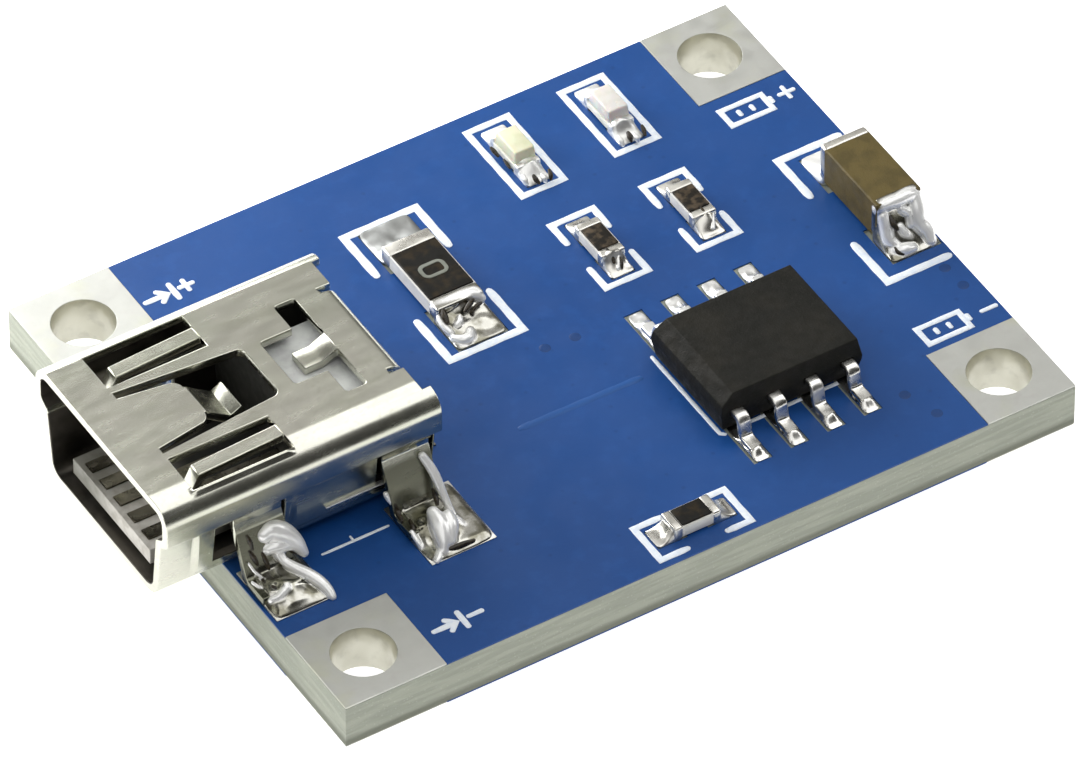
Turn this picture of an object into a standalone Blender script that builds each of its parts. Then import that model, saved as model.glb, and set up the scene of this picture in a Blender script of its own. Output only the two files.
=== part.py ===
"""Charger module for one lithium cell: a printed board with a stamped mini-USB socket.

The board lies flat with its underside on the XY plane and the origin at the centre of that underside.
+X runs from the socket end to the battery end, +Y towards the plus side, +Z up. Units are metres.
"""

import math

import bmesh
import bpy
from mathutils import Matrix, Vector

mm = 0.001

# Board
board_length = 25.0 * mm
board_width = 19.2 * mm
board_thickness = 1.6 * mm
film_thickness = 0.05 * mm
seat_gap = 0.01 * mm
land_rise = 0.02 * mm

# Corner lands and their plated wire holes
hole_diameter = 1.96 * mm
hole_plating = 0.06 * mm
hole_inset_end = 1.6 * mm
hole_inset_side = 1.65 * mm
input_land_length = 3.4 * mm
battery_land_length = 3.05 * mm
corner_land_width = 3.35 * mm
hole_sides = 40

# Socket shell, folded from one sheet
socket_length = 9.25 * mm
socket_overhang = 2.4 * mm
socket_lift = 0.05 * mm
socket_height = 3.95 * mm
socket_width = 7.5 * mm
socket_waist_width = 6.7 * mm
socket_base_width = 6.3 * mm
step_top_height = 2.7 * mm
step_bottom_height = 2.3 * mm
sheet = 0.3 * mm
top_corner_radius = 0.65 * mm
base_corner_radius = 0.7 * mm
least_fold_radius = 0.1 * mm

# Openings in the shell's top, measured from the mouth
slot_start = 1.25 * mm
slot_end = 4.6 * mm
window_end = 5.4 * mm
window_front_width = 2.9 * mm
window_rear_width = 2.2 * mm
window_corner = 0.25 * mm
finger_offset = 2.35 * mm
finger_width = 0.48 * mm
finger_slot_width = 1.45 * mm
finger_slot_offset = 2.43 * mm
finger_sag = 0.14 * mm
finger_nose = 0.6 * mm
finger_nose_length = 0.35 * mm
finger_nose_drop = 0.7 * mm
latch_root_width = 2.4 * mm
latch_shoulder_width = 1.95 * mm
latch_tip_width = 1.2 * mm
latch_flat_length = 1.9 * mm
latch_dip_length = 0.85 * mm
latch_dip = 0.63 * mm
latch_lip_length = 0.45 * mm
latch_lip_rise = 0.25 * mm
tee_stem_start = 5.95 * mm
tee_bar_start = 7.05 * mm
tee_bar_end = 7.75 * mm
tee_stem_width = 2.0 * mm
tee_bar_width = 4.1 * mm
tee_corner = 0.12 * mm
tab_width = 0.75 * mm
tab_length = 1.1 * mm
tab_bend_length = 0.5 * mm
tab_dip = 0.26 * mm

# Rear of the shell: the top ends short of the side walls and bends down as a flap
top_setback = 0.28 * mm
flap_width = 3.7 * mm
flap_notch = 0.2 * mm
flap_notch_length = 0.75 * mm
flap_bend_radius = 0.4 * mm
flap_setback = 0.2 * mm
flap_foot_height = 1.55 * mm
tail_cut_length = 1.0 * mm

# Solder legs of the shell, lanced out of its side walls
front_leg_start = 2.47 * mm
rear_leg_inset = 1.8 * mm
leg_width = 1.6 * mm
leg_root_height = 1.95 * mm
leg_splay = 0.4 * mm
leg_heel = 0.75 * mm
leg_reach = 1.75 * mm
leg_sole_height = 0.04 * mm
leg_bend_radius = 0.3 * mm
leg_window_margin = 0.14 * mm
leg_window_lead = 0.62 * mm
leg_window_top = 2.2 * mm
leg_window_bottom = 0.75 * mm

# Socket insulator and contacts
insulator_depth = 3.2 * mm
insulator_gap = 0.02 * mm
blade_width = 4.4 * mm
blade_recess = 0.3 * mm
blade_bottom = 0.62 * mm
blade_top = 1.2 * mm
recess_width = 3.2 * mm
recess_depth = 0.28 * mm
pocket_depth = 1.1 * mm
contact_count = 5
contact_pitch = 0.8 * mm
contact_width = 0.42 * mm
contact_thickness = 0.18 * mm
contact_rise = 0.04 * mm
contact_nose_gap = 0.2 * mm
contact_bend_radius = 0.25 * mm
tail_gap = 0.05 * mm
tail_reach = 0.95 * mm
tail_land_width = 0.5 * mm
tail_land_heel = 0.1 * mm
tail_land_toe = 0.35 * mm

# Lands and solder under the shell's legs
leg_land_setback = 0.05 * mm
front_leg_land_length = 1.95 * mm
rear_leg_land_length = 2.2 * mm
rear_leg_land_width = 2.6 * mm
corner_land_gap = 0.65 * mm
leg_solder_height = 1.0 * mm
leg_solder_fall = 1.3
leg_solder_heel = 0.55
leg_solder_crest = 0.11

# Charge controller in its gull-wing package
chip_x = 4.97 * mm
chip_y = -4.0 * mm
chip_length = 4.9 * mm
chip_width = 3.9 * mm
chip_height = 1.35 * mm
chip_standoff = 0.12 * mm
chip_draft = 0.12 * mm
chip_bevel = 0.35 * mm
lead_count = 4
lead_pitch = 1.27 * mm
lead_width = 0.42 * mm
lead_thickness = 0.2 * mm
lead_span = 6.0 * mm
lead_shoulder = 0.3 * mm
lead_foot = 0.6 * mm
lead_bend_radius = 0.2 * mm
lead_land_width = 0.62 * mm
lead_land_length = 1.75 * mm
lead_land_toe = 0.6 * mm
lead_land_shift = 0.2 * mm
lead_sole_gap = 0.02 * mm
lead_solder_height = 0.18 * mm
lead_solder_crest = 0.62
lead_solder_side_fall = 0.8
heat_pad_length = 3.3 * mm
heat_pad_width = 2.4 * mm

# Small chip parts: length along the chip, width across it, height
small_chip_length = 1.6 * mm
small_chip_width = 0.8 * mm
small_chip_height = 0.45 * mm
large_chip_length = 3.2 * mm
large_chip_width = 1.6 * mm
large_chip_height = 0.55 * mm
capacitor_length = 3.2 * mm
capacitor_width = 1.6 * mm
capacitor_height = 1.45 * mm
lamp_length = 1.6 * mm
lamp_width = 0.8 * mm
lamp_height = 0.7 * mm
small_terminal = 0.3 * mm
large_terminal = 0.5 * mm
terminal_wall = 0.05 * mm
element_rise = 0.08 * mm
element_inset = 0.04 * mm
chip_land_reach = 0.55 * mm
chip_land_tuck = 0.15 * mm
chip_land_margin = 0.06 * mm
fillet_share = 0.8
fillet_fall = 2.2
fillet_edge_fall = 0.75
resistor_1_solder_reach = 1.3 * mm
resistor_1_solder_shares = (0.8, 0.25)
capacitor_solder_reach = 1.0 * mm
capacitor_solder_shares = (0.75, 0.3)
lamp_base_height = 0.3 * mm
lamp_terminal = 0.2 * mm
lens_length = 1.18 * mm
lens_draft = 0.03 * mm

# Places of the chip parts, an inset being counted from the nearest board edge
resistor_1_x = -1.27 * mm
resistor_1_y = 4.0 * mm
resistor_2_x = 3.7 * mm
resistor_2_y = 2.65 * mm
resistor_3_x = 6.87 * mm
resistor_3_y = 2.62 * mm
resistor_4_x = -0.12 * mm
resistor_4_inset = 1.12 * mm
lamp_1_x = 3.64 * mm
lamp_1_inset = 2.29 * mm
lamp_2_x = 6.95 * mm
lamp_2_inset = 2.25 * mm
capacitor_inset = 0.92 * mm
capacitor_y = 0.1 * mm

# Colour, roughness and metallic value of each finish
finishes = {
    "laminate": ((0.56, 0.56, 0.42, 1), 0.6, 0.0),
    "blue_mask": ((0.045, 0.11, 0.38, 1), 0.35, 0.0),
    "tinned_copper": ((0.62, 0.6, 0.55, 1), 0.35, 0.9),
    "shell_steel": ((0.6, 0.58, 0.52, 1), 0.3, 1.0),
    "dark_moulding": ((0.02, 0.02, 0.02, 1), 0.5, 0.0),
    "contact_metal": ((0.65, 0.6, 0.5, 1), 0.25, 1.0),
    "solder": ((0.62, 0.62, 0.6, 1), 0.2, 1.0),
    "chip_moulding": ((0.022, 0.02, 0.018, 1), 0.6, 0.0),
    "lead_metal": ((0.6, 0.6, 0.58, 1), 0.3, 1.0),
    "white_ceramic": ((0.8, 0.79, 0.75, 1), 0.5, 0.0),
    "black_element": ((0.015, 0.015, 0.015, 1), 0.35, 0.0),
    "brown_ceramic": ((0.16, 0.1, 0.045, 1), 0.45, 0.0),
    "terminal_tin": ((0.66, 0.65, 0.62, 1), 0.3, 1.0),
    "lamp_base": ((0.78, 0.78, 0.7, 1), 0.5, 0.0),
    "clear_lens": ((0.8, 0.82, 0.7, 1), 0.1, 0.0),
}

# Heights that everything on the board is placed from
laminate_bottom = film_thickness + seat_gap
laminate_top = board_thickness - film_thickness - seat_gap
film_seat = board_thickness - film_thickness
board_top = board_thickness
land_top = board_top + land_rise
half_length = board_length / 2
half_width = board_width / 2
mouth = -half_length - socket_overhang
socket_rear = mouth + socket_length
socket_base = board_top + socket_lift
socket_top = socket_base + socket_height

# Sizes and centres of the chip parts, drawn together
small_chip_size = (small_chip_length, small_chip_width, small_chip_height)
large_chip_size = (large_chip_length, large_chip_width, large_chip_height)
capacitor_size = (capacitor_length, capacitor_width, capacitor_height)
lamp_size = (lamp_length, lamp_width, lamp_height)
chip_centre = (chip_x, chip_y)
resistor_1_centre = (resistor_1_x, resistor_1_y)
resistor_2_centre = (resistor_2_x, resistor_2_y)
resistor_3_centre = (resistor_3_x, resistor_3_y)
resistor_4_centre = (resistor_4_x, resistor_4_inset - half_width)
lamp_1_centre = (lamp_1_x, half_width - lamp_1_inset)
lamp_2_centre = (lamp_2_x, half_width - lamp_2_inset)
capacitor_centre = (half_length - capacitor_inset, capacitor_y)

# Small overlap with which shapes are joined into one solid
bite = 0.02 * mm

# Points of a millimetre outline closer than this are one point
merge_distance = 0.0001

# Sharpest corner of a bent strip that keeps its full mitre, as the cosine of half the turn
mitre_limit = 0.5


def clear_scene():
    """Remove the objects that a new file starts with."""
    for thing in list(bpy.data.objects):
        bpy.data.objects.remove(thing, do_unlink=True)


def new_collection(name):
    """Add a collection to the scene."""
    collection = bpy.data.collections.new(name)
    bpy.context.scene.collection.children.link(collection)
    return collection


def finish_material(name, finish):
    """Principled material named for its piece."""
    colour, roughness, metallic = finishes[finish]
    material = bpy.data.materials.new(name)
    material.use_nodes = True
    shader = material.node_tree.nodes["Principled BSDF"]
    shader.inputs["Base Color"].default_value = colour
    shader.inputs["Roughness"].default_value = roughness
    shader.inputs["Metallic"].default_value = metallic
    material.diffuse_color = colour
    return material


def keep(thing, name, finish):
    """Name a finished piece, give it its own material and put it with the parts."""
    thing.name = name
    thing.data.name = name
    thing.data.materials.clear()
    thing.data.materials.append(finish_material(name, finish))
    parts.objects.link(thing)
    return thing


def guide(thing):
    """Put a shape that only cuts or joins another with the cutters."""
    thing.hide_render = True
    thing.display_type = "WIRE"
    cutters.objects.link(thing)
    return thing


def combine(target, tool, operation):
    """Cut, join or intersect the target with another solid."""
    if tool.name not in cutters.objects:
        guide(tool)
    modifier = target.modifiers.new(operation.title(), "BOOLEAN")
    modifier.operation = operation
    modifier.solver = "EXACT"
    modifier.object = tool
    return target


def cut(target, *tools):
    for tool in tools:
        combine(target, tool, "DIFFERENCE")
    return target


def join(target, *tools):
    for tool in tools:
        combine(target, tool, "UNION")
    return target


def smooth(thing, angle=math.radians(32)):
    """Shade a solid smooth except over its sharp edges."""
    thing.data.shade_smooth()
    thing.data.set_sharp_from_angle(angle=angle)
    return thing


def box(name, low, high):
    """Cuboid between two corners, from a primitive cube."""
    size = Vector(high) - Vector(low)
    centre = (Vector(high) + Vector(low)) / 2
    shape = bmesh.new()
    bmesh.ops.create_cube(shape, size=1.0)
    bmesh.ops.scale(shape, vec=size, verts=shape.verts)
    mesh = bpy.data.meshes.new(name)
    shape.to_mesh(mesh)
    shape.free()
    thing = bpy.data.objects.new(name, mesh)
    thing.location = centre
    return thing


def cylinder(name, radius, low, high, centre):
    """Upright cylinder between two heights."""
    shape = bmesh.new()
    bmesh.ops.create_cone(shape, cap_ends=True, segments=hole_sides, radius1=radius, radius2=radius,
                          depth=high - low)
    mesh = bpy.data.meshes.new(name)
    shape.to_mesh(mesh)
    shape.free()
    thing = bpy.data.objects.new(name, mesh)
    thing.location = (centre[0], centre[1], (low + high) / 2)
    return thing


# How the plane that an outline is drawn on turns into the plane it stands in
plane_turns = {
    "XY": Matrix.Identity(4),
    "YZ": Matrix(((0, 0, 1, 0), (1, 0, 0, 0), (0, 1, 0, 0), (0, 0, 0, 1))),
    "XZ": Matrix(((1, 0, 0, 0), (0, 0, -1, 0), (0, 1, 0, 0), (0, 0, 0, 1))),
}


def prism(name, loops, depth, plane="XY", offset=0.0):
    """Flat outline, with any holes in it, drawn out by depth across its plane.

    The outline is filled as a 2D curve drawn in millimetres, so that its fill keeps the smallest
    steps, and is then made a mesh in metres. Offset is where the middle of the depth lies.
    """
    curve = bpy.data.curves.new(name, "CURVE")
    curve.dimensions = "2D"
    curve.fill_mode = "BOTH"
    curve.extrude = depth / 2 / mm
    for loop in loops:
        spline = curve.splines.new("POLY")
        spline.points.add(len(loop) - 1)
        for point, (across, up) in zip(spline.points, loop):
            point.co = (across / mm, up / mm, 0, 1)
        spline.use_cyclic_u = True
    drawn = bpy.data.objects.new(name, curve)
    bpy.context.scene.collection.objects.link(drawn)
    depsgraph = bpy.context.evaluated_depsgraph_get()
    mesh = bpy.data.meshes.new_from_object(drawn.evaluated_get(depsgraph))
    bpy.data.objects.remove(drawn, do_unlink=True)
    bpy.data.curves.remove(curve)
    shape = bmesh.new()
    shape.from_mesh(mesh)
    bmesh.ops.remove_doubles(shape, verts=shape.verts, dist=merge_distance)
    bmesh.ops.scale(shape, vec=(mm, mm, mm), verts=shape.verts)
    bmesh.ops.transform(shape, matrix=plane_turns[plane], verts=shape.verts)
    bmesh.ops.recalc_face_normals(shape, faces=shape.faces)
    shape.to_mesh(mesh)
    shape.free()
    thing = bpy.data.objects.new(name, mesh)
    axis = {"XY": 2, "YZ": 0, "XZ": 1}[plane]
    thing.location[axis] = offset
    return thing


def rectangle(low, high):
    """Corners of an upright rectangle."""
    return [(low[0], low[1]), (high[0], low[1]), (high[0], high[1]), (low[0], high[1])]


def arc(centre, radius, start, end, steps):
    """Points along a circular arc, angles in degrees."""
    points = []
    for step in range(steps + 1):
        angle = math.radians(start + (end - start) * step / steps)
        points.append((centre[0] + radius * math.cos(angle), centre[1] + radius * math.sin(angle)))
    return points


def rounded_path(corners, radius, steps=4):
    """Polyline whose inner corners are replaced by arcs of one radius."""
    path = [Vector(corners[0])]
    for before, corner, after in zip(corners, corners[1:], corners[2:]):
        corner = Vector(corner)
        back = (Vector(before) - corner).normalized()
        ahead = (Vector(after) - corner).normalized()
        half_angle = back.angle(ahead) / 2
        reach = radius / math.tan(half_angle)
        centre = corner + (back + ahead).normalized() * radius / math.sin(half_angle)
        start = corner + back * reach - centre
        end = corner + ahead * reach - centre
        turn = start.angle_signed(end)
        for step in range(steps + 1):
            share = step / steps
            turned = Matrix.Rotation(-turn * share, 2) @ start
            path.append(centre + turned)
    path.append(Vector(corners[-1]))
    return path


def thick_outline(path, thickness):
    """Closed outline of a strip whose middle line is the path."""
    left = []
    right = []
    for index, point in enumerate(path):
        ways = []
        if index > 0:
            ways.append((point - path[index - 1]).normalized())
        if index < len(path) - 1:
            ways.append((path[index + 1] - point).normalized())
        way = sum(ways, Vector((0, 0))).normalized()
        side = Vector((-way.y, way.x))
        reach = thickness / 2 / max(mitre_limit, way.dot(ways[0]))
        left.append(tuple(point + side * reach))
        right.append(tuple(point - side * reach))
    return left + right[::-1]


def strip(name, corners, thickness, width, plane, offset, radius=None, steps=4):
    """Sheet-metal strip: a bent middle line with thickness, drawn out to a width."""
    if radius:
        path = rounded_path(corners, radius, steps)
    else:
        path = [Vector(corner) for corner in corners]
    return prism(name, [thick_outline(path, thickness)], width, plane, offset)


def mirror_points(points):
    """Outline of a half, from top to bottom, completed by its mirror image in the first axis."""
    return points + [(-across, up) for across, up in reversed(points) if across > 0]


def socket_section(inset):
    """Keystone section of the socket, set in from the shell's outside by a distance.

    Wide at the top with rounded corners, an S-shaped step inwards on each side, slightly tapering
    lower walls and a rounded base.
    """
    top = socket_top - inset
    base = socket_base + inset
    wide = socket_width / 2 - inset
    waist = socket_waist_width / 2 - inset
    narrow = socket_base_width / 2 - inset
    slope_shift = inset * (math.sqrt(2) - 1)
    step_top = socket_base + step_top_height + slope_shift
    step_bottom = socket_base + step_bottom_height + slope_shift
    top_radius = max(top_corner_radius - inset, least_fold_radius)
    base_radius = max(base_corner_radius - inset, least_fold_radius)
    half = arc((wide - top_radius, top - top_radius), top_radius, 90, 0, 5)
    step_count = 6
    for step in range(step_count + 1):
        share = step / step_count
        eased = (1 - math.cos(math.pi * share)) / 2
        half.append((wide + (waist - wide) * eased, step_top + (step_bottom - step_top) * share))
    half += arc((narrow - base_radius, base + base_radius), base_radius, 0, -90, 5)
    return mirror_points(half)


def mound(name, low, high, base, height, columns=8, rows=8):
    """Closed solid over a rectangle whose top follows height(u, v), with u and v from -1 to 1."""
    shape = bmesh.new()
    top = []
    bottom = []
    for row in range(rows + 1):
        v = -1 + 2 * row / rows
        for column in range(columns + 1):
            u = -1 + 2 * column / columns
            x = low[0] + (high[0] - low[0]) * (u + 1) / 2
            y = low[1] + (high[1] - low[1]) * (v + 1) / 2
            top.append(shape.verts.new((x, y, height(u, v))))
            bottom.append(shape.verts.new((x, y, base)))
    width = columns + 1
    for row in range(rows):
        for column in range(columns):
            first = row * width + column
            ring = (first, first + 1, first + width + 1, first + width)
            shape.faces.new([top[corner] for corner in ring])
            shape.faces.new([bottom[corner] for corner in reversed(ring)])
    rim = [column for column in range(columns)]
    rim += [row * width + columns for row in range(rows)]
    rim += [rows * width + column for column in range(columns, 0, -1)]
    rim += [row * width for row in range(rows, 0, -1)]
    for here, there in zip(rim, rim[1:] + rim[:1]):
        shape.faces.new((bottom[here], bottom[there], top[there], top[here]))
    bmesh.ops.recalc_face_normals(shape, faces=shape.faces)
    mesh = bpy.data.meshes.new(name)
    shape.to_mesh(mesh)
    shape.free()
    return bpy.data.objects.new(name, mesh)


# Lands on the board: where each copper rectangle lies, so that the mask opens round it
land_rectangles = []


def claim_land(low, high):
    """Note a land's rectangle for the solder mask, and return it."""
    land_rectangles.append((low, high))
    return low, high


def corner_land_box(side_x, side_y):
    """Rectangle of a corner land, which reaches both board edges."""
    length = battery_land_length if side_x > 0 else input_land_length
    inner_x = side_x * (half_length - length)
    inner_y = side_y * (half_width - corner_land_width)
    xs = sorted((inner_x, side_x * half_length))
    ys = sorted((inner_y, side_y * half_width))
    return (xs[0], ys[0]), (xs[1], ys[1])


def hole_centre(side_x, side_y):
    return side_x * (half_length - hole_inset_end), side_y * (half_width - hole_inset_side)


corners = {
    "in_plus_land": (-1, 1),
    "in_minus_land": (-1, -1),
    "battery_plus_land": (1, 1),
    "battery_minus_land": (1, -1),
}


def make_laminate():
    """Glass-epoxy core with the four holes for the plated barrels."""
    laminate = box("laminate", (-half_length, -half_width, laminate_bottom),
                   (half_length, half_width, laminate_top))
    radius = hole_diameter / 2 + hole_plating + seat_gap
    for name, (side_x, side_y) in corners.items():
        drill = cylinder(name + "_drill", radius, 0, board_thickness, hole_centre(side_x, side_y))
        cut(laminate, drill)
    keep(laminate, "board_laminate", "laminate")


def make_corner_land(name, side_x, side_y):
    """Plated-through corner land: a square of tinned copper on each face and the barrel between."""
    low, high = corner_land_box(side_x, side_y)
    centre = hole_centre(side_x, side_y)
    land = box(name, (low[0], low[1], film_seat), (high[0], high[1], land_top))
    under = box(name + "_under", (low[0], low[1], 0), (high[0], high[1], film_thickness))
    barrel = cylinder(name + "_barrel", hole_diameter / 2 + hole_plating, film_thickness / 2,
                      board_top, centre)
    bore = cylinder(name + "_bore", hole_diameter / 2, -board_thickness, 2 * board_thickness, centre)
    join(land, barrel, under)
    cut(land, bore)
    keep(smooth(land), name, "tinned_copper")


def mask_outline():
    """Outline of the board with its four corner lands left out."""
    gap = seat_gap
    left = -half_length + input_land_length + gap
    right = half_length - battery_land_length - gap
    inner = half_width - corner_land_width - gap
    half = [
        (right, half_width),
        (right, inner),
        (half_length, inner),
    ]
    lower = [(across, -up) for across, up in reversed(half)]
    lower_left = [(left, -half_width), (left, -inner), (-half_length, -inner)]
    upper_left = [(across, -up) for across, up in reversed(lower_left)]
    return half + lower + lower_left + upper_left


def make_masks():
    """Blue solder mask on both faces, open round every land on top."""
    loops = [mask_outline()]
    for low, high in land_rectangles:
        wide_low = (low[0] - seat_gap, low[1] - seat_gap)
        wide_high = (high[0] + seat_gap, high[1] + seat_gap)
        loops.append(rectangle(wide_low, wide_high))
    top = prism("mask", loops, film_thickness, "XY", board_top - film_thickness / 2)
    keep(top, "solder_mask_top", "blue_mask")
    bottom = prism("mask", [mask_outline()], film_thickness, "XY", film_thickness / 2)
    keep(bottom, "solder_mask_bottom", "blue_mask")


def window_outline():
    """Opening round the latch tongue: a trapezoid that narrows to the rear, with round corners."""
    front = mouth + slot_start
    rear = mouth + window_end
    wide = window_front_width / 2
    narrow = window_rear_width / 2
    half = [(front, wide)]
    half += arc((rear - window_corner, narrow - window_corner), window_corner, 90, 0, 4)
    return half + [(across, -up) for across, up in reversed(half)]


def latch_outline():
    """Plan of the latch tongue: wide at its root, narrowing to a round-cornered tip."""
    root = mouth + slot_start
    flat_end = root + latch_flat_length
    tip = flat_end + latch_dip_length + latch_lip_length + sheet
    radius = (latch_shoulder_width - latch_tip_width) / 2
    half = [(root - sheet, latch_root_width / 2), (root, latch_root_width / 2)]
    half += arc((flat_end - radius, latch_tip_width / 2), radius, 90, 0, 4)
    half += [(tip, latch_tip_width / 2)]
    return half + [(across, -up) for across, up in reversed(half)]


def tee_outline():
    """T-shaped opening over the insulator, its bar across the socket at the rear."""
    stem_start = mouth + tee_stem_start
    bar_start = mouth + tee_bar_start
    bar_end = mouth + tee_bar_end
    reach = tee_bar_width / 2 - tee_corner
    half = arc((stem_start + tee_corner, tee_stem_width / 2 - tee_corner), tee_corner, 180, 90, 3)
    half += [(bar_start, tee_stem_width / 2)]
    half += arc((bar_start + tee_corner, reach), tee_corner, 180, 90, 3)
    half += arc((bar_end - tee_corner, reach), tee_corner, 90, 0, 3)
    return half + [(across, -up) for across, up in reversed(half)]


def shell_openings(shell):
    """Cut the slots, windows and notches of the flat sheet."""
    punch_low = socket_top - sheet - bite
    punch_high = socket_top + sheet
    depth = punch_high - punch_low
    middle = (punch_high + punch_low) / 2
    cut(shell, prism("latch_window", [window_outline()], depth, "XY", middle))
    for side in (-1, 1):
        centre = side * finger_slot_offset
        low = (mouth + slot_start, centre - finger_slot_width / 2)
        high = (mouth + slot_end, centre + finger_slot_width / 2)
        cut(shell, prism("finger_slot", [rectangle(low, high)], depth, "XY", middle))
    cut(shell, prism("tee_window", [tee_outline()], depth, "XY", middle))
    inner = socket_width / 2 - top_corner_radius
    cut(shell, box("top_end", (socket_rear - top_setback, -inner, punch_low),
                   (socket_rear + sheet, inner, punch_high)))
    notch = flap_width / 2 + flap_notch
    cut(shell, box("flap_cut", (socket_rear - flap_notch_length, -notch, socket_top - top_corner_radius),
                   (socket_rear + sheet, notch, socket_top + sheet)))
    tails = contact_pitch * (contact_count - 1) / 2 + contact_width
    cut(shell, box("tail_cut", (socket_rear - tail_cut_length, -tails, socket_base - sheet),
                   (socket_rear + sheet, tails, socket_base + 2 * sheet)))


def shell_fingers(shell):
    """Two bowed spring fingers, the latch tongue with its lifted lip, and the insulator tab."""
    middle = socket_top - sheet / 2
    thin = sheet - bite
    root = mouth + slot_end
    nose = mouth + slot_start + finger_nose
    for side in (-1, 1):
        path = [
            (root + sheet, middle),
            (root, middle),
            ((root + nose) / 2, middle - finger_sag / 2),
            (nose, middle - finger_sag),
            (nose - finger_nose_length, middle - finger_sag - finger_nose_drop),
        ]
        join(shell, strip("finger", path, thin, finger_width, "XZ", side * finger_offset))
    root = mouth + slot_start
    flat_end = root + latch_flat_length
    dip_end = flat_end + latch_dip_length
    path = [
        (root - sheet, middle),
        (flat_end, middle),
        (dip_end, middle - latch_dip),
        (dip_end + latch_lip_length, middle - latch_dip + latch_lip_rise),
    ]
    latch = strip("latch", path, thin, 2 * latch_root_width, "XZ", 0.0)
    combine(latch, prism("latch_plan", [latch_outline()], socket_height, "XY", socket_top), "INTERSECT")
    join(shell, latch)
    tab_root = mouth + tee_bar_end
    path = [
        (tab_root + sheet, middle),
        (tab_root, middle),
        (tab_root - tab_bend_length, middle - tab_dip),
        (tab_root - tab_length, middle - tab_dip),
    ]
    join(shell, strip("tab", path, thin, tab_width, "XZ", 0.0))


def shell_flap(shell):
    """Rear cover bent down from the top sheet."""
    middle = socket_top - sheet / 2
    back = socket_rear - flap_setback - sheet / 2
    path = [
        (socket_rear - flap_notch_length - sheet, middle),
        (back, middle),
        (back, board_top + flap_foot_height),
    ]
    join(shell, strip("flap", path, sheet - bite, flap_width, "XZ", 0.0, flap_bend_radius - sheet / 2))


def wall_middle(height):
    """Distance of the middle of the tapering lower wall from the centre line, at a height."""
    upper = socket_base + step_bottom_height
    lower = socket_base + base_corner_radius
    share = (upper - height) / (upper - lower)
    return (socket_waist_width + (socket_base_width - socket_waist_width) * share) / 2 - sheet / 2


def leg_path(side, slack=0.0):
    """Middle line of a leg: down the wall and out along the board to its toe."""
    root = board_top + leg_root_height
    wall = wall_middle(root)
    sole = land_top + leg_sole_height + sheet / 2
    return [
        (side * wall_middle(root + sheet), root + sheet),
        (side * wall, root),
        (side * (wall + leg_splay), (root + sole) / 2),
        (side * (wall + leg_heel), sole),
        (side * (wall + leg_reach + slack), sole),
    ]


def leg_land_inner():
    """Distance of the legs' lands from the centre line, just clear of the shell's wall."""
    return wall_middle(socket_base + base_corner_radius) + sheet


def leg_ranges():
    """Start of each leg along the socket, the length of wall lanced away before it, and its land.

    The land is given by its length and the place of its outer edge, which at the front keeps clear of
    the corner land.
    """
    front_outer = half_width - corner_land_width - corner_land_gap
    rear_outer = leg_land_inner() + rear_leg_land_width
    return {
        "front": (mouth + front_leg_start, leg_window_lead, (front_leg_land_length, front_outer)),
        "rear": (socket_rear - rear_leg_inset, leg_window_margin, (rear_leg_land_length, rear_outer)),
    }


def shell_legs(shell):
    """Lance a window in each side wall and bend its flap out as a solder leg."""
    for start, lead, _ in leg_ranges().values():
        for side in (-1, 1):
            inner = side * (socket_base_width / 2 - 2 * sheet)
            outer = side * socket_width / 2
            ys = sorted((inner, outer))
            window = box("leg_window",
                         (start - lead, ys[0], board_top + leg_window_bottom),
                         (start + leg_width + leg_window_margin, ys[1], board_top + leg_window_top))
            cut(shell, window)
    for start, _, _ in leg_ranges().values():
        for side in (-1, 1):
            join(shell, strip("leg", leg_path(side), sheet - bite, leg_width, "YZ",
                              start + leg_width / 2, leg_bend_radius))


def make_shell():
    """Stamped and folded shell of the socket."""
    shell = prism("shell", [socket_section(0.0), socket_section(sheet)], socket_length, "YZ",
                  (mouth + socket_rear) / 2)
    shell_openings(shell)
    shell_fingers(shell)
    shell_flap(shell)
    shell_legs(shell)
    keep(smooth(shell), "socket_shell", "shell_steel")


def insulator_rear():
    """Back face of the insulator, just inside the rear flap."""
    return socket_rear - flap_setback - sheet - insulator_gap


def contact_middle():
    """Height of the middle of the contacts on the blade."""
    return board_top + blade_top + contact_rise - contact_thickness / 2


def contact_offsets():
    first = -contact_pitch * (contact_count - 1) / 2
    return [first + contact_pitch * index for index in range(contact_count)]


def make_insulator():
    """Moulded insulator: a block that fills the rear of the shell and the contact blade in front."""
    rear = insulator_rear()
    front = rear - insulator_depth
    block = prism("block", [socket_section(sheet + insulator_gap)], insulator_depth, "YZ",
                  (front + rear) / 2)
    blade = box("blade", (mouth + blade_recess, -blade_width / 2, board_top + blade_bottom),
                (front + bite, blade_width / 2, board_top + blade_top))
    join(block, blade)
    under_sheet = socket_top - sheet
    stem = mouth + tee_stem_start - sheet
    bar = mouth + tee_bar_start - sheet / 2
    bar_end = mouth + tee_bar_end + sheet
    cut(block, box("recess", (stem, -recess_width / 2, under_sheet - recess_depth),
                   (bar_end, recess_width / 2, socket_top)))
    for side in (-1, 1):
        ys = sorted((side * (recess_width / 2 - bite), side * (tee_bar_width / 2 + sheet / 2)))
        cut(block, box("pocket", (bar, ys[0], under_sheet - pocket_depth), (bar_end, ys[1], socket_top)))
    for offset in contact_offsets():
        half = contact_width / 2 + seat_gap
        middle = contact_middle()
        low = middle - contact_thickness / 2 - seat_gap
        high = middle + contact_thickness / 2 + seat_gap
        start = mouth + blade_recess + contact_nose_gap - seat_gap
        cut(block, box("contact_way", (start, offset - half, low), (rear + bite, offset + half, high)))
    keep(smooth(block), "socket_insulator", "dark_moulding")


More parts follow.
